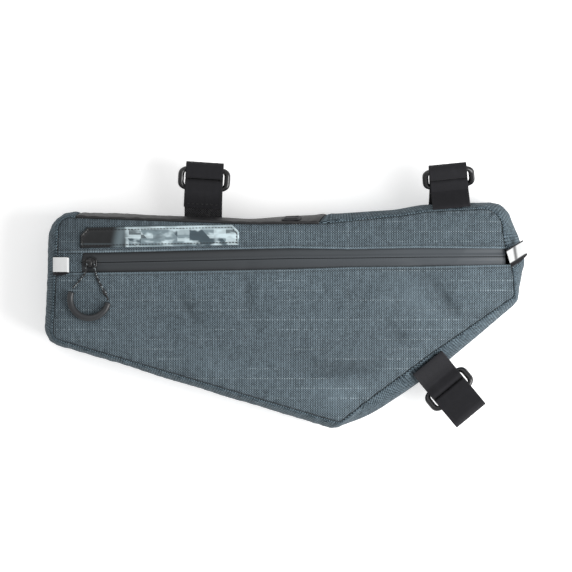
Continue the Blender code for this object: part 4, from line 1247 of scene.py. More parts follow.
class FRAMEBAG_OT_front(bpy.types.Operator):
    """Makes the two halves of the front, with their hems, folds and topstitching."""

    bl_idname = "framebag.front"
    bl_label = "Front"

    def execute(self, context):
        cloth = made_once("ripstop_cloth", ripstop_cloth)
        ends = {side: [PANEL.at(edge_place(*edge, side)) for edge in (LEFT_EDGE, RIGHT_EDGE)] for side in (-1, 1)}
        places = {side: [edge_place(*edge, side) for edge in (LEFT_EDGE, RIGHT_EDGE)] for side in (-1, 1)}
        low = [place_of(name, 0.5) for name in ("low_left", "low_right")]
        top = [place_of(name, 0.5) for name in ("top_left", "top_right")]
        lower = panel_sheet(
            edge_run(low[0], low[1], 340, 0.4),
            hem_run(*ends[-1], -1, 340, 0.4),
            edge_run(low[0] + LAPS, places[-1][0], 110, 0.6),
            edge_run(low[1], places[-1][1], 110, 0.6),
            -1,
            11,
        )
        put_piece("front_lower", sheet_form(*lower[:2]).outward((0, 0, -9)), [cloth], ["front_panel_lower"],
                  0.0009, relief_shade=lower[2])
        upper = panel_sheet(
            hem_run(*ends[1], 1, 340, 0.4),
            edge_run(top[0], top[1], 340, 0.4),
            edge_run(places[1][0], top[0], 60, 0.6),
            edge_run(places[1][1], top[1], 60, 0.6),
            1,
            31,
        )
        put_piece("front_upper", sheet_form(*upper[:2]).outward((0, 0, -9)), [cloth], ["front_panel_upper"],
                  0.0009, relief_shade=upper[2])
        rows = [hem_stitches(*ends[-1], -1, 11), hem_stitches(*ends[1], 1, 31)]
        put_piece("hem_stitches", joined(rows), [made_once("grey_thread", grey_thread)])
        return {"FINISHED"}


# Offsets into the seam and heights below it, where the wall's edge rolls in.
FRONT_LIP = ((0.00055, -0.00004), (0.00110, 0.00004), (0.00150, 0.00030), (0.00168, 0.00075), (0.00172, 0.00180))
BACK_LIP = ((0.00140, 0.00260), (0.00130, 0.00130), (0.00105, 0.00060), (0.00070, 0.00018), (0.00030, 0.00002))


def gusset_sheet(start, end, count, seed, gather=1.0):
    """A run of the side wall with its rolled edges, as a grid of points, and its map.

    The wall is moved along its normal by gathers that fade from both seams, a slow sag that is
    fullest at mid depth, folds at the tight corners, and a dip at each end of the run.
    """
    looks = bpy.context.scene.bag_cloth
    places, gone = OUTLINE.even_places(start, end, count)
    shares = 0.012 + 0.976 * end_heavy(30, 0.45)
    grid = np.broadcast_to(places, (len(shares), len(places)))
    depth = np.broadcast_to(shares[:, None], grid.shape)
    points = gusset_point(grid, depth)
    run = np.broadcast_to(gone, grid.shape)
    to_front, to_back = (1 - depth) * BAG_DEPTH, depth * BAG_DEPTH
    move = gather * looks.pucker * np.exp(-to_front / 0.005) * wave_line(run, 0.0095, seed)
    move = move + gather * looks.pucker * np.exp(-to_back / 0.005) * wave_line(run, 0.014, seed + 1) * 0.6
    move = move + looks.crumple * 0.5 * np.sin(PI * depth) * wave_field(run, depth * BAG_DEPTH, 0.05, seed + 2)
    corner = np.zeros_like(run)
    for index, row in enumerate(CORNERS):
        if row.rounding < 1.2:
            apart = (grid - (2 * index + 0.5) + LAPS / 2) % LAPS - LAPS / 2
            corner += np.exp(-((apart / 0.75) ** 2))
    move = move + 0.00022 * corner * np.sin(PI * depth) ** 0.5 * wave_line(run + depth * 0.004, 0.008, seed + 3)
    ends = np.minimum(run, gone[-1] - run)
    move = move - 0.0009 * np.exp(-((ends / 0.0011) ** 2)) + 0.00035 * bell(ends, 0.0042, 0.0028)
    points = points + gusset_normal(grid, depth) * move[..., None]
    front = [
        np.concatenate((SEAM.inside(inset).at(places), np.full((len(places), 1), BAG_DEPTH - drop)), axis=1)
        for inset, drop in FRONT_LIP
    ]
    back = [
        np.concatenate((BACK.inside(inset).at(places), np.full((len(places), 1), rise)), axis=1)
        for inset, rise in BACK_LIP
    ]
    points = np.concatenate((np.array(back), points, np.array(front)))
    points[..., 2] = np.maximum(points[..., 2], 0.0)
    steps = np.linalg.norm(np.diff(points, axis=0), axis=2).mean(1)
    across = np.concatenate(([0], np.cumsum(steps)))
    return points, np.stack(np.meshgrid(across, gone, indexing="ij")[::-1], axis=-1)


class FRAMEBAG_OT_gusset(bpy.types.Operator):
    """Makes the side wall, its coated top section and the stitches in the front seam."""

    bl_idname = "framebag.gusset"
    bl_label = "Side wall"

    def execute(self, context):
        # The side wall's cloth carries painted shade: it is a shade darker than the front's.
        cloth = made_once("wall_cloth", wall_cloth)
        coated = made_once("coated_cloth", coated_cloth)
        middle = np.array((0.0, 0.0, BAG_DEPTH / 2))
        first, last = OUTLINE.trimmed(COATED_END, COATED_START + LAPS, GAP / 2)
        wall = gusset_sheet(first, last, 620, 51)
        put_piece("side_wall", sheet_form(*wall).outward(middle), [cloth], ["gusset"], 0.0010)
        first, last = OUTLINE.trimmed(COATED_START, COATED_END, GAP / 2)
        section = gusset_sheet(first, last, 200, 71, 0.4)
        put_piece("top_section", sheet_form(*section).outward(middle), [coated], ["gusset_top"], 0.0010)
        places, _ = SEAM.even_places(0, LAPS, 1200)
        flat = SEAM.inside(0.0018).at(places)
        line = np.concatenate((flat, np.full((len(flat), 1), BAG_DEPTH - 0.0009)), axis=1)
        ups = np.tile((0.0, 0.0, 1.0), (len(line), 1))
        stitches = stitch_row(line, ups, 0.0027, 0.00055, 0.8)
        put_piece("seam_stitches", stitches, [made_once("seam_thread", seam_thread)])
        return {"FINISHED"}


class FRAMEBAG_OT_back(bpy.types.Operator):
    """Makes the flat back panel: rings of the outline, drawn in to its middle, rolled up at the edge."""

    bl_idname = "framebag.back"
    bl_label = "Back"

    def execute(self, context):
        rim = BACK.inside(GUSSET_WALL + GAP)
        places, gone = rim.even_places(0, LAPS, 420)
        edge = rim.at(places[:-1])
        middle = flat_point(0.55, 0.52)
        shares = 1 - (1 - np.linspace(0.02, 1, 46)) ** 1.4
        flat = middle + (edge - middle)[None] * shares[:, None, None]
        inset, _ = line_distance(flat.reshape(-1, 2), rim.at(places))
        inset = inset.reshape(flat.shape[:2])
        near = 1 - np.clip(inset / SEAM_ROLL, 0, 1)
        rise = SEAM_ROLL * (1 - np.sqrt(1 - near**2))
        hollow = np.maximum(wave_field(flat[..., 0], flat[..., 1], 0.06, 91), 0) * 0.0003
        rise = rise + hollow * (1 - np.exp(-inset / 0.01))
        lower = np.concatenate((flat, rise[..., None]), axis=2)
        upper = np.concatenate((flat, np.full_like(rise, 0.0019)[..., None]), axis=2)
        rings = np.concatenate((lower, upper[::-1]))
        rings[..., 2] = np.minimum(rings[..., 2], 0.0019)
        map_flat = np.concatenate((flat, flat[::-1]))
        map_flat = np.concatenate((map_flat, map_flat[:, :1]), axis=1)
        form = tube_form(rings, map_flat).outward((0, 0, 0.001))
        put_piece("back_cloth", form, [made_once("coated_cloth", coated_cloth)], ["back_panel"])
        return {"FINISHED"}


def zip_end_x():
    """Where the cloth over the zip's closed end stops."""
    return flat_point(SLIDER_ALONG, 0)[0] - SLIDER_LENGTH / 2 - GAP


def tape_sheet(side):
    """One tape: under its hem it is flat, over the coil it swells, and at the slit it turns down."""
    left = PANEL.at(edge_place(*LEFT_EDGE, 1))[0] + GAP + PANEL_WALL
    right = PANEL.at(edge_place(*RIGHT_EDGE, 1))[0] - GAP
    x = np.linspace(left, right, 420)
    share = 1 - (1 - np.linspace(0, 1, 34)) ** 0.62
    share = share[:, None]
    near = zip_middle(x) + side * 0.00012
    far = hem_height(x, side) + side * ZIP_HEM
    y = near + (far - near) * share
    away = np.abs(y - zip_middle(x))
    flat = np.stack((np.broadcast_to(x, y.shape), y), axis=-1)
    height = front_height(flat.reshape(-1, 2)).reshape(y.shape) - PANEL_WALL - GAP
    height = height + 0.00050 * (1 - smooth_step(away, 0.0012, 0.0034))
    height = height - 0.00022 * np.exp(-((away / 0.00028) ** 2))
    height = height + 0.00007 * wave_field(flat[..., 0] * 0.4, y * 2.0, 0.02, 5 + side)
    height = height - 0.0004 * smooth_step(away, 0.0058, 0.0086) - 0.0007 * smooth_step(x, right - 0.004, right)
    return np.concatenate((flat, height[..., None]), axis=-1), np.stack((flat[..., 0], y - zip_middle(x)), axis=-1)


class FRAMEBAG_OT_zip(bpy.types.Operator):
    """Makes the zip's two tapes and the cloth folded over its closed end."""

    bl_idname = "framebag.zip"
    bl_label = "Zip"

    def execute(self, context):
        film = made_once("zip_film", zip_film)
        for side, name, node in ((1, "zip_film_upper", "zip_tape_upper"), (-1, "zip_film_lower", "zip_tape_lower")):
            form = sheet_form(*tape_sheet(side)).outward((0, 0, -9))
            put_piece(name, form, [film], [node], 0.0008)
        end = zip_end_x()
        rows = []
        for share in np.linspace(0, 1, 40):
            t = 2 * share - 1
            start_x = np.interp(share, (0, 1), [PANEL.at(edge_place(*LEFT_EDGE, side))[0] for side in (-1, 1)])
            stop = end + 0.0006 * t + 0.0011 * (t**2 - 1)
            x = start_x + (stop - start_x) * end_heavy(36, 0.5)
            low, high = hem_height(x, -1) - 0.0012, hem_height(x, 1) + 0.0012
            rows.append(np.stack((x, low + (high - low) * share), axis=1))
        flat = np.array(rows)
        points = on_front(flat, -0.0004)
        from_end = flat[:, -1:, 0] - flat[..., 0]
        near = 1 - np.clip(from_end / 0.0008, 0, 1)
        points[..., 2] += 0.00035 * bell(from_end, 0.0016, 0.0012) - 0.0008 * (1 - np.sqrt(1 - near**2))
        crease = flat[..., 0] - flat[:, :1, 0] - 0.006 - 0.2 * (flat[..., 1] - flat[20, 0, 1])
        points[..., 2] -= 0.00045 * bell(crease, 0, 0.0016)
        middle = np.abs(flat[..., 1] - zip_middle(flat[..., 0]))
        points[..., 2] -= 0.0011 * smooth_step(middle, 0.0068, 0.0082)
        form = sheet_form(points, flat).outward((0, 0, -9))
        put_piece("zip_end_cloth", form, [made_once("ripstop_cloth", ripstop_cloth)], ["zip_end"], 0.0008)
        return {"FINISHED"}


def slider_place():
    """The slider's middle and its underside, on the zip's tapes."""
    x = flat_point(SLIDER_ALONG, 0)[0]
    y = float(zip_middle(x))
    spans = np.array([(i * SLIDER_LENGTH, j * SLIDER_WIDTH) for i in (-0.5, 0, 0.5) for j in (-0.5, 0, 0.5)])
    return x, y, float(front_height(spans + (x, y)).max()) - PANEL_WALL


class FRAMEBAG_OT_slider(bpy.types.Operator):
    """Makes the zip's slider: a waisted plate with a domed top, side flanges and a bridge."""

    bl_idname = "framebag.slider"
    bl_label = "Slider"

    def execute(self, context):
        x, y, floor = slider_place()
        around = np.linspace(0, TURN, 97)[:-1]
        nose = np.sign(np.cos(around)) * np.abs(np.cos(around)) ** 0.55
        flank = np.sign(np.sin(around)) * np.abs(np.sin(around)) ** 0.62
        waist = 0.80 + 0.20 * smooth_step(nose, -0.5, 0.7) - 0.10 * bell(nose, -0.15, 0.28)
        plan = np.stack((nose * SLIDER_LENGTH / 2, flank * waist * SLIDER_WIDTH / 2), axis=1)
        # Shares of the plan and of the height, from the top's middle to the underside's.
        profile = np.array(
            (
                (0.05, 0.96), (0.35, 0.95), (0.55, 0.93), (0.62, 0.84), (0.72, 0.82), (0.80, 0.94), (0.90, 0.98),
                (0.96, 0.93), (0.99, 0.82), (1.00, 0.66), (0.99, 0.56), (0.93, 0.52), (0.90, 0.48), (0.93, 0.42),
                (0.98, 0.38), (1.00, 0.28), (0.99, 0.12), (0.95, 0.03), (0.85, 0.00), (0.05, 0.00),
            )
        )
        rings = np.empty((len(profile), len(around), 3))
        rings[..., :2] = (x, y) + plan[None] * profile[:, None, :1]
        rings[..., 2] = floor + SLIDER_HEIGHT * profile[:, 1:]
        body = tube_form(rings, np.zeros((len(profile), len(around) + 1, 2))).outward()
        top = floor + SLIDER_HEIGHT * 0.9
        half = SLIDER_WIDTH / 2 - BRIDGE_BAR * 0.6
        t = np.linspace(0, 1, 40)
        rise = (BRIDGE_CLEAR + BRIDGE_BAR * 0.5 + SLIDER_HEIGHT * 0.1) * np.sin(PI * t) ** 0.32
        path = np.stack((np.full(40, x), y - half + 2 * half * t, top + rise), axis=1)
        section, places = band_section(BRIDGE_WIDTH * 0.72, BRIDGE_BAR, 8)
        bridge = carried(path, (1.0, 0.0, 0.0), section, places).outward()
        metal = made_once("black_metal", black_metal)
        put_piece("slider_metal", joined([body, bridge]), [metal], ["zip_slider"])
        return {"FINISHED"}


def cord_route():
    """The cord's own line: the route's points, on the cloth, the grip or the slider's bridge."""
    x, y, floor = slider_place()
    table = np.array(CORD_ROUTE)
    flat = table[:, :2] + (x, y)
    resting = front_height(flat) + GAP + CORD_DIAMETER / 2
    height = resting + table[:, 2] * (GRIP_THICKNESS - CORD_DIAMETER) / 2
    height = height + table[:, 3] * (floor + SLIDER_HEIGHT + BRIDGE_CLEAR / 2 - resting)
    return smooth_line(np.concatenate((flat, height[:, None]), axis=1), 150)


def knot_form(path, gone):
    """A knot: the cord wound about its own line, this far along it, and lifted off the cloth."""
    lengths = np.concatenate(([0], np.cumsum(np.linalg.norm(np.diff(path, axis=0), axis=1))))
    turns = np.linspace(0, 1, 90)
    reach = gone + KNOT_LENGTH * (turns - 0.5)
    middle = np.stack([np.interp(reach, lengths, path[:, k]) for k in range(3)], axis=1)
    along = unit((middle[-1] - middle[0])[None])[0]
    side = unit(np.cross(along, (0.0, 0.0, 1.0))[None])[0]
    up = np.cross(side, along)
    angle = (turns * KNOT_TURNS * TURN)[:, None]
    coil = middle + up * KNOT_RADIUS * 0.6 + KNOT_RADIUS * (np.cos(angle) * side + np.sin(angle) * up)
    section, places = round_section(CORD_DIAMETER * 0.42, 10)
    return carried(coil, along, section, places).outward()


class FRAMEBAG_OT_cord(bpy.types.Operator):
    """Makes the braided cord, a round section carried along its route, and a knot on each strand."""

    bl_idname = "framebag.cord"
    bl_label = "Pull cord"

    def execute(self, context):
        path = cord_route()
        section, places = round_section(CORD_DIAMETER / 2, 12)
        form = carried(path, (0.0, 0.0, 1.0), section, places).outward()
        piece = put_piece(
            "braided_cord", form, [made_once("braided_cord", braided_cord)], ["pull_cord"]
        )
        total = float(np.linalg.norm(np.diff(path, axis=0), axis=1).sum())
        slider = path[np.abs(path[:, 2] - path[:, 2].max()).argmin()]
        crown = total * float(np.linalg.norm(path - slider, axis=1).argmin()) / (len(path) - 1)
        knots = joined([knot_form(path, crown + away) for away in (-KNOT_AWAY, KNOT_AWAY)])
        put_piece("cord_knots", knots, [made_once("braided_cord", braided_cord)])
        return {"FINISHED"}


class FRAMEBAG_OT_grip(bpy.types.Operator):
    """Makes the zip pull: a rubber tube bent round a circle, necked and rounded at its two ends."""

    bl_idname = "framebag.grip"
    bl_label = "Zip pull"

    def execute(self, context):
        x, y, _ = slider_place()
        angles = np.radians(np.linspace(GRIP_START, GRIP_END - 360, 110))
        circle = np.stack((np.cos(angles), np.sin(angles)), axis=1) * GRIP_RADIUS
        path = on_front(circle + (x + GRIP_CENTRE[0], y + GRIP_CENTRE[1]), GRIP_THICKNESS / 2 + GAP)
        gone = np.abs(angles - angles[0]) * GRIP_RADIUS
        from_end = np.minimum(gone, gone[-1] - gone)
        scale = np.sqrt(1 - (1 - np.clip(from_end / 0.0013, 0.02, 1)) ** 2)
        scale = scale * (0.97 - 0.05 * bell(from_end, 0.0026, 0.0005) + 0.03 * smooth_step(from_end, 0.003, 0.012))
        section, places = round_section(GRIP_THICKNESS / 2, 28)
        form = carried(path, (0.0, 0.0, 1.0), section, places, scale=scale).outward()
        put_piece("grip_tube", form, [made_once("grip_rubber", grip_rubber)], ["pull_grip"])
        return {"FINISHED"}


def label_outline():
    """The label's edge as a closed line: two long sides that follow the zip, with cut top corners."""
    left, right = (flat_point(along, 0)[0] for along in LABEL_ALONG)
    x = np.linspace(left, right, 240)
    middle = zip_middle(x) + (LABEL_UP - ZIP_ROWS[1].up) * BAG_HEIGHT
    cut = np.maximum(0.0, LABEL_CHAMFER - np.minimum(x - left, right - x))
    low = np.stack((x, middle - LABEL_HEIGHT / 2), axis=1)
    high = np.stack((x, middle + LABEL_HEIGHT / 2 - cut), axis=1)
    return low, high


class FRAMEBAG_OT_label(bpy.types.Operator):
    """Makes the bare label: a moulded plate with a raised rim, a sunk stitch line and its stitches."""

    bl_idname = "framebag.label"
    bl_label = "Label"

    def execute(self, context):
        low, high = label_outline()
        line = np.concatenate((low, high[::-1], low[:1]))
        share = end_heavy(52, 0.55)[:, None, None]
        pick = np.interp(end_heavy(300, 0.6), np.linspace(0, 1, len(low)), np.arange(len(low)))
        low = np.stack([np.interp(pick, np.arange(len(low)), low[:, k]) for k in range(2)], axis=1)
        high = np.stack([np.interp(pick, np.arange(len(high)), high[:, k]) for k in range(2)], axis=1)
        flat = low[None] + (high - low)[None] * share
        edge, _ = line_distance(flat.reshape(-1, 2), line)
        edge = edge.reshape(flat.shape[:2])
        raised = 0.0013 + 0.00034 * bell(edge, 0.0010, 0.00055) - 0.00022 * bell(edge, 0.0021, 0.00035)
        raised = raised + 0.00018 * smooth_step(edge, 0.0030, 0.0034)
        near = 1 - np.clip(edge / 0.0006, 0, 1)
        points = on_front(flat)
        points[..., 2] += raised - 0.0006 * (1 - np.sqrt(1 - near**2))
        start = flat[0, 0]
        form = sheet_form(points, flat - start).outward((0, 0, -9))
        put_piece("label_plate", form, [made_once("label_face", label_face)], ["label_patch"], 0.0009)
        tangent = np.gradient(line, axis=0)
        normal = unit(np.stack((-tangent[:, 1], tangent[:, 0]), axis=1))
        inner = evenly(line + normal * 0.0021, 600)
        path = on_front(inner, 0.00138)
        ups = np.tile((0.0, 0.0, 1.0), (len(path), 1))
        stitches = stitch_row(path, ups, 0.0026, 0.00060, 0.74)
        put_piece("label_stitches", stitches, [made_once("black_thread", black_thread)])
        return {"FINISHED"}


class FRAMEBAG_OT_port(bpy.types.Operator):
    """Makes the cable port: an oval hump on the coated section with a closed slit along it."""

    bl_idname = "framebag.port"
    bl_label = "Cable port"

    def execute(self, context):
        x = flat_point(PORT_ALONG, 0)[0]
        places = np.linspace(place_of("top_middle", 1), place_of("top_dip", 0), 2000)
        middle = float(places[np.abs(OUTLINE.at(places)[:, 0] - x).argmin()])
        reach = OUTLINE.trimmed(middle, middle + 1, PORT_LENGTH / 2)[0] - middle
        share = end_heavy(36, 0.6)
        depth = PORT_DEPTH[0] + (PORT_DEPTH[1] - PORT_DEPTH[0]) * share
        bow = np.sqrt(np.maximum(0.0, 1 - (2 * share - 1) ** 4))
        side = 2 * end_heavy(60, 0.6) - 1
        grid = middle + reach * (0.6 + 0.4 * bow)[:, None] * side
        deep = np.broadcast_to(depth[:, None], grid.shape)
        rim = np.minimum(1 - np.abs(side)[None], (1 - np.abs(2 * share - 1))[:, None])
        swell = PORT_WALL * (0.25 + 0.75 * smooth_step(rim, 0.0, 0.42))
        slit = bell(2 * share - 1, 0, 0.10)[:, None] * (1 - smooth_step(np.abs(side), 0.62, 0.78))[None]
        lift = GAP + swell - 0.0008 * slit
        points = gusset_point(grid, deep) + gusset_normal(grid, deep) * lift[..., None]
        marks = np.stack(np.meshgrid(share * 0.008, side * PORT_LENGTH / 2, indexing="ij")[::-1], axis=-1)
        form = sheet_form(points, marks).outward((0, 0, BAG_DEPTH / 2))
        put_piece("port_hump", form, [made_once("port_rubber", port_rubber)], ["cable_port"], 0.0007)
        return {"FINISHED"}


def arc(centre, radius, start, end, steps):
    """Points of an arc in the plane of out and high, angles in degrees."""
    angles = np.radians(np.linspace(start, end, steps + 1))
    return [(centre[0] + radius * math.cos(a), centre[1] + radius * math.sin(a)) for a in angles]


class StrapFrame:
    """A strap's own plane: out from the outline, tipped up by its lift, and high over its back layer."""

    def __init__(self, strap):
        edge = gusset_point(strap.place, strap.base)
        flat = unit(gusset_normal(strap.place, strap.base)[:2])
        turn = math.radians(strap.turn)
        self.out = np.array(
            (
                flat[0] * math.cos(turn) - flat[1] * math.sin(turn),
                flat[0] * math.sin(turn) + flat[1] * math.cos(turn),
                0.0,
            )
        )
        self.across = np.cross(self.out, (0, 0, 1))
        self.lift = math.radians(strap.lift)
        places = strap.place + np.linspace(-1, 1, 81)
        wall = gusset_point(places, np.full(81, strap.base)) - edge
        behind = wall[np.abs(wall @ self.across) < STRAP_WIDTH / 2]
        clear = GAP + (behind @ self.out).max() + STRAP_WALL / 2 * math.sin(self.lift)
        self.start = edge + self.out * clear

    def points(self, places):
        """World points of (out, high) places."""
        out, high = np.array(places, float).T
        level = out * math.cos(self.lift) - high * math.sin(self.lift)
        rise = out * math.sin(self.lift) + high * math.cos(self.lift)
        return self.start + self.out * level[:, None] + np.array((0, 0, 1.0)) * rise[:, None]

    def local(self, level, height):
        """Out and high of a point given by its level distance and its true height."""
        rise = height - self.start[2]
        out = level * math.cos(self.lift) + rise * math.sin(self.lift)
        high = rise * math.cos(self.lift) - level * math.sin(self.lift)
        return out, high


def strap_paths(strap):
    """The middle lines of a strap and of its ring tab, and the ring's height: arcs and straight runs."""
    shape = StrapFrame(strap)
    ring_high = STRAP_WALL * 1.5 + 2 * GAP + RING_BAR / 2
    wrap = RING_BAR / 2 + GAP + STRAP_WALL / 2
    top = ring_high + wrap
    bend = top / 2
    far = strap.length - bend
    dive = strap.slit + STRAP_WALL / 2 + GAP / 2 + wrap / 2
    steps = np.linspace(0, 1, 7)
    main = [(share * (far + STRAP_ROOT) - STRAP_ROOT, 0.0) for share in steps]
    main += arc((far, bend), bend, -90, 90, 8)[1:]
    main += [(far + (dive - far) * 0.5, top)]
    main += arc((dive, top - wrap / 2), wrap / 2, 90, 180, 4)
    main += [(dive - wrap / 2, ring_high)]
    path = shape.points(main)
    path[: len(steps)] += shape.across * (strap.root_skew * (1 - steps) ** 2)[:, None]
    near = strap.slit - STRAP_WALL / 2 - GAP / 2 - wrap
    bar = strap.slit - (RING_HEIGHT - RING_BAR) / 2
    rise = bar - RING_BAR / 2
    if strap.tail_high is None:
        tail = (strap.tail_out, STRAP_WALL + GAP)
    else:
        tail = shape.local(strap.tail_out, BAG_DEPTH + strap.tail_high + STRAP_WALL / 2)
    share = np.linspace(0, 1, 8)
    ease = smooth_step(share, 0, 1)
    loop = list(zip(tail[0] + (rise - tail[0]) * share, tail[1] + (top - tail[1]) * ease))
    loop += arc((near, ring_high), wrap, 90, -90, 8)
    loop.append((bar - TAB_RETURN / 2, ring_high - wrap))
    return shape, smooth_line(path, 110), smooth_line(shape.points(loop), 90), ring_high


def cross_stitches(shape, path, gone):
    """A row of stitches straight across a strap, on its upper face, this far from its cut end."""
    lengths = np.concatenate(([0], np.cumsum(np.linalg.norm(np.diff(path, axis=0), axis=1))))
    middle = np.array([np.interp(gone, lengths, path[:, k]) for k in range(3)])
    tangent = np.array([np.interp(gone + 0.001, lengths, path[:, k]) for k in range(3)]) - middle
    up = unit(np.cross(shape.across, tangent)[None])[0]
    up = up * np.sign(up[2])
    reach = np.linspace(0.0016 - STRAP_WIDTH / 2, STRAP_WIDTH / 2 - 0.0016, 200)
    line = middle + up * (STRAP_WALL / 2 + 0.00005) + shape.across * reach[:, None]
    return stitch_row(line, np.tile(up, (len(line), 1)), 0.0038, 0.00090, 0.66)


class FRAMEBAG_OT_straps(bpy.types.Operator):
    """Makes the webbing: each strap and ring tab is a ribbed band carried along its folded line."""

    bl_idname = "framebag.straps"
    bl_label = "Straps"

    def execute(self, context):
        webbing = made_once("strap_webbing", strap_webbing)
        hooks = made_once("hook_webbing", hook_webbing)
        section, places = band_section(STRAP_WIDTH - 0.0004, STRAP_WALL - 0.0002, 30, 0.00006)
        for strap in STRAPS:
            shape, main, loop, _ = strap_paths(strap)
            for name, path in ((f"strap_{strap.name}", main), (f"ring_tab_{strap.name}", loop)):
                form = carried(path, shape.across, section, places).outward()
                finishes = [webbing]
                marks = None
                if name == "strap_top_left":
                    finishes.append(hooks)
                    marks = np.concatenate([(part[:, :, 0].max(1) < 0.0082).astype(int) for part in form.places])
                put_piece(name.replace("strap_", "webbing_").replace("ring_tab_", "tab_"), form, finishes,
                          [name], marks=marks)
            if strap.name == "top_left":
                row = cross_stitches(shape, loop, 0.0036)
                put_piece("strap_stitches", row, [made_once("strap_thread", strap_thread)])
        return {"FINISHED"}


class FRAMEBAG_OT_rings(bpy.types.Operator):
    """Makes the rings: a bar carried round a rectangle with round corners, broader on its short sides."""

    bl_idname = "framebag.rings"
    bl_label = "Rings"

    def execute(self, context):
        metal = made_once("black_metal", black_metal)
        section, places = round_section(RING_BAR / 2, 20)
        section = section * (1.0, 0.94)
        half_long = (RING_LENGTH - RING_BAR * RING_BROAD) / 2
        half_high = (RING_HEIGHT - RING_BAR) / 2
        corners = ((-half_long, -half_high), (half_long, -half_high), (half_long, half_high), (-half_long, half_high))
        square = Loop(corners, [RING_ROUND] * 4)
        line = square.at(square.even_places(0, 8, 140)[0][:-1])
        broad = 1 + (RING_BROAD - 1) * smooth_step(np.abs(line[:, 0]), half_long - RING_BAR * 0.6, half_long)
        for strap in STRAPS:
            shape, _, _, ring_high = strap_paths(strap)
            origin, away, high = shape.points([(strap.slit, ring_high), (strap.slit + 1, ring_high), (strap.slit, ring_high + 1)])
            points = origin + shape.across * line[:, :1] + (away - origin) * line[:, 1:]
            form = carried(points, high - origin, section, places, closed=True, scale=broad).outward()
            put_piece(f"metal_ring_{strap.name}", form, [metal], [f"ring_{strap.name}"])
        return {"FINISHED"}


def tab_path(tab):
    """A reflective loop's middle line: a lower layer on the cloth, a round bend and an upper layer."""
    spans = {"left": LEFT_EDGE, "right": RIGHT_EDGE}
    edge = PANEL.at(edge_place(*spans[tab.name], 0))
    aim, lean, tilt = (math.radians(angle) for angle in (tab.aim, tab.lean, tab.tilt))
    forward = np.array((math.cos(aim), math.sin(aim)))
    across = np.array((-math.sin(lean) * math.cos(tilt), math.cos(lean) * math.cos(tilt), -math.sin(tilt)))
    start = edge + np.array((0.0, tab.shift)) - forward * tab.back
    run = tab.reach - tab.bend

    def lower(share):
        flat = start + forward * run * share
        sides = np.array([flat + across[:2] * TAB_WIDTH * part for part in (-0.5, 0, 0.5)])
        ground = front_height(sides).max() if tab.drop == 0 else BAG_DEPTH - tab.drop * share * share
        return flat, ground + GAP * 2 + TAB_WALL / 2 + TAB_WIDTH / 2 * math.sin(tilt)

    path = [(*lower(share)[0], lower(share)[1]) for share in (0, 0.25, 0.5, 0.75, 1)]
    tip, height = lower(1)
    path += [(*(tip + forward * out), height + up) for out, up in arc((0, tab.bend), tab.bend, -90, 90, 6)[1:]]
    root = lower(0)[1] + TAB_WALL + GAP
    for share in (0.75, 0.5, 0.25, 0):
        level = root + (height + 2 * tab.bend - root) * share**0.7
        path.append((*(start + forward * run * share), max(level, lower(share)[1] + TAB_WALL + GAP)))
    path = smooth_line(path, 90)
    path -= across * TAB_SKEW * (1 - smooth_step(np.linspace(0, 1, len(path)), 0.25, 0.62))[:, None]
    return path, across


class FRAMEBAG_OT_tabs(bpy.types.Operator):
    """Makes the two folded loops of reflective tape, pale outside and black inside."""

    bl_idname = "framebag.tabs"
    bl_label = "Reflective loops"

    def execute(self, context):
        back = made_once("tape_back", tape_back)
        steps = 16
        section, places = band_section(TAB_WIDTH, TAB_WALL - 0.0002, steps)
        for tab in TABS:
            path, across = tab_path(tab)
            total = float(np.linalg.norm(np.diff(path, axis=0), axis=1).sum())
            crease = total - TAB_CREASE if tab.name == "right" else None
            finishes = [back, reflective_tape(f"reflective_tape_{tab.name}", crease)]
            form = carried(path, across, section, places).outward()
            columns = len(section)
            outside = np.zeros(columns, int)
            outside[:steps] = 1
            marks = np.concatenate((np.tile(outside, len(path) - 1), np.zeros(2 * columns, int)))
            put_piece(f"tape_loop_{tab.name}", form, finishes, [f"reflective_tab_{tab.name}"], marks=marks)
        return {"FINISHED"}


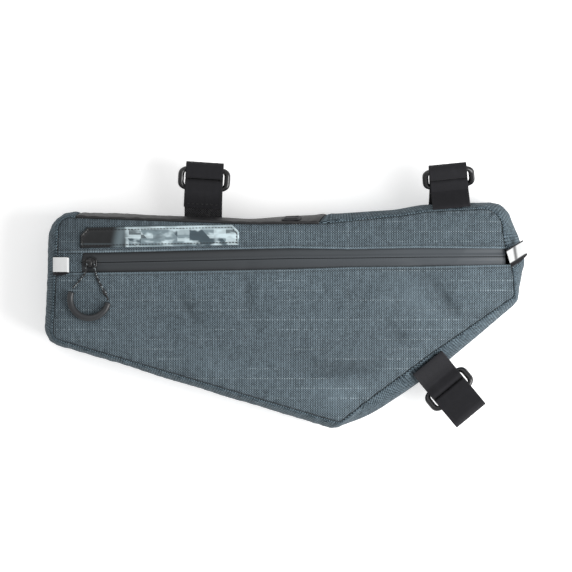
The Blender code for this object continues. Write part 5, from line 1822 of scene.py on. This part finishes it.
class FRAMEBAG_OT_stage(bpy.types.Operator):
    """Makes the floor, the camera straight over the bag, and the studio lights."""

    bl_idname = "framebag.stage"
    bl_label = "Stage"

    def execute(self, context):
        scene = context.scene
        stage = scene.bag_stage
        x, y = BAG_PLACE[0] + stage.aim_right, BAG_PLACE[1] + stage.aim_up
        camera = bpy.data.cameras.new("camera")
        camera.lens = stage.lens
        holder = bpy.data.objects.new("camera", camera)
        reach = stage.view_width * camera.lens / camera.sensor_width
        holder.location = (x, y, stage.focus_height + reach)
        camera.clip_start = 0.1
        camera.clip_end = 60.0
        scene.collection.objects.link(holder)
        scene.camera = holder
        for name, place, size, power in (
            ("key", (0.74, -0.22, 0.66), 0.75, stage.key),
            ("fill", (-1.2, 1.6, 2.4), 2.4, stage.fill),
        ):
            light = bpy.data.lights.new(name, "AREA")
            light.energy = power
            light.size = size
            lamp = bpy.data.objects.new(name, light)
            lamp.location = place
            aim = -lamp.location
            lamp.rotation_euler = aim.to_track_quat("-Z", "Y").to_euler()
            scene.collection.objects.link(lamp)
        half = 4.0
        corners = [(-half, -half, 0.0), (half, -half, 0.0), (half, half, 0.0), (-half, half, 0.0)]
        mesh = bpy.data.meshes.new("floor")
        mesh.from_pydata(corners, [], [(0, 1, 2, 3)])
        mesh.materials.append(made_once("pale_floor", pale_floor))
        floor = bpy.data.objects.new("floor", mesh)
        floor.location.z = -0.0002
        scene.collection.objects.link(floor)
        world = bpy.data.worlds.new("sky")
        world.use_nodes = True
        sky = world.node_tree.nodes["Background"]
        sky.inputs["Color"].default_value = (1.0, 1.0, 1.0, 1.0)
        sky.inputs["Strength"].default_value = stage.sky
        scene.world = world
        scene.view_settings.view_transform = "Standard"
        return {"FINISHED"}


OPERATORS = (
    FRAMEBAG_OT_stage, FRAMEBAG_OT_cord, FRAMEBAG_OT_front, FRAMEBAG_OT_gusset, FRAMEBAG_OT_back, FRAMEBAG_OT_zip,
    FRAMEBAG_OT_slider, FRAMEBAG_OT_grip, FRAMEBAG_OT_label, FRAMEBAG_OT_port, FRAMEBAG_OT_straps,
    FRAMEBAG_OT_rings, FRAMEBAG_OT_tabs,
)


class FRAMEBAG_PT_pieces(bpy.types.Panel):
    """Shows a button for each step of the build, and the settings of the cloth, the trim and the stage."""

    bl_idname = "FRAMEBAG_PT_pieces"
    bl_label = "Frame Bag"
    bl_space_type = "VIEW_3D"
    bl_region_type = "UI"
    bl_category = "Frame Bag"

    def draw(self, context):
        column = self.layout.column()
        for operator in OPERATORS:
            column.operator(operator.bl_idname)
        for group in (context.scene.bag_cloth, context.scene.bag_trim, context.scene.bag_stage):
            for name in group.bl_rna.properties.keys():
                if name not in ("rna_type", "name"):
                    column.prop(group, name)


GROUPS = {"bag_cloth": BagCloth, "bag_trim": BagTrim, "bag_stage": BagStage}


def register():
    for group in GROUPS.values():
        bpy.utils.register_class(group)
    for name, group in GROUPS.items():
        setattr(bpy.types.Scene, name, PointerProperty(type=group))
    for kind in (*OPERATORS, FRAMEBAG_PT_pieces):
        bpy.utils.register_class(kind)


def unregister():
    for kind in (FRAMEBAG_PT_pieces, *OPERATORS):
        bpy.utils.unregister_class(kind)
    for name in GROUPS:
        delattr(bpy.types.Scene, name)
    for group in GROUPS.values():
        bpy.utils.unregister_class(group)


def main():
    register()
    for operator in OPERATORS:
        group, name = operator.bl_idname.split(".")
        getattr(getattr(bpy.ops, group), name)()
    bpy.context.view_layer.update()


if __name__ == "__main__":
    main()
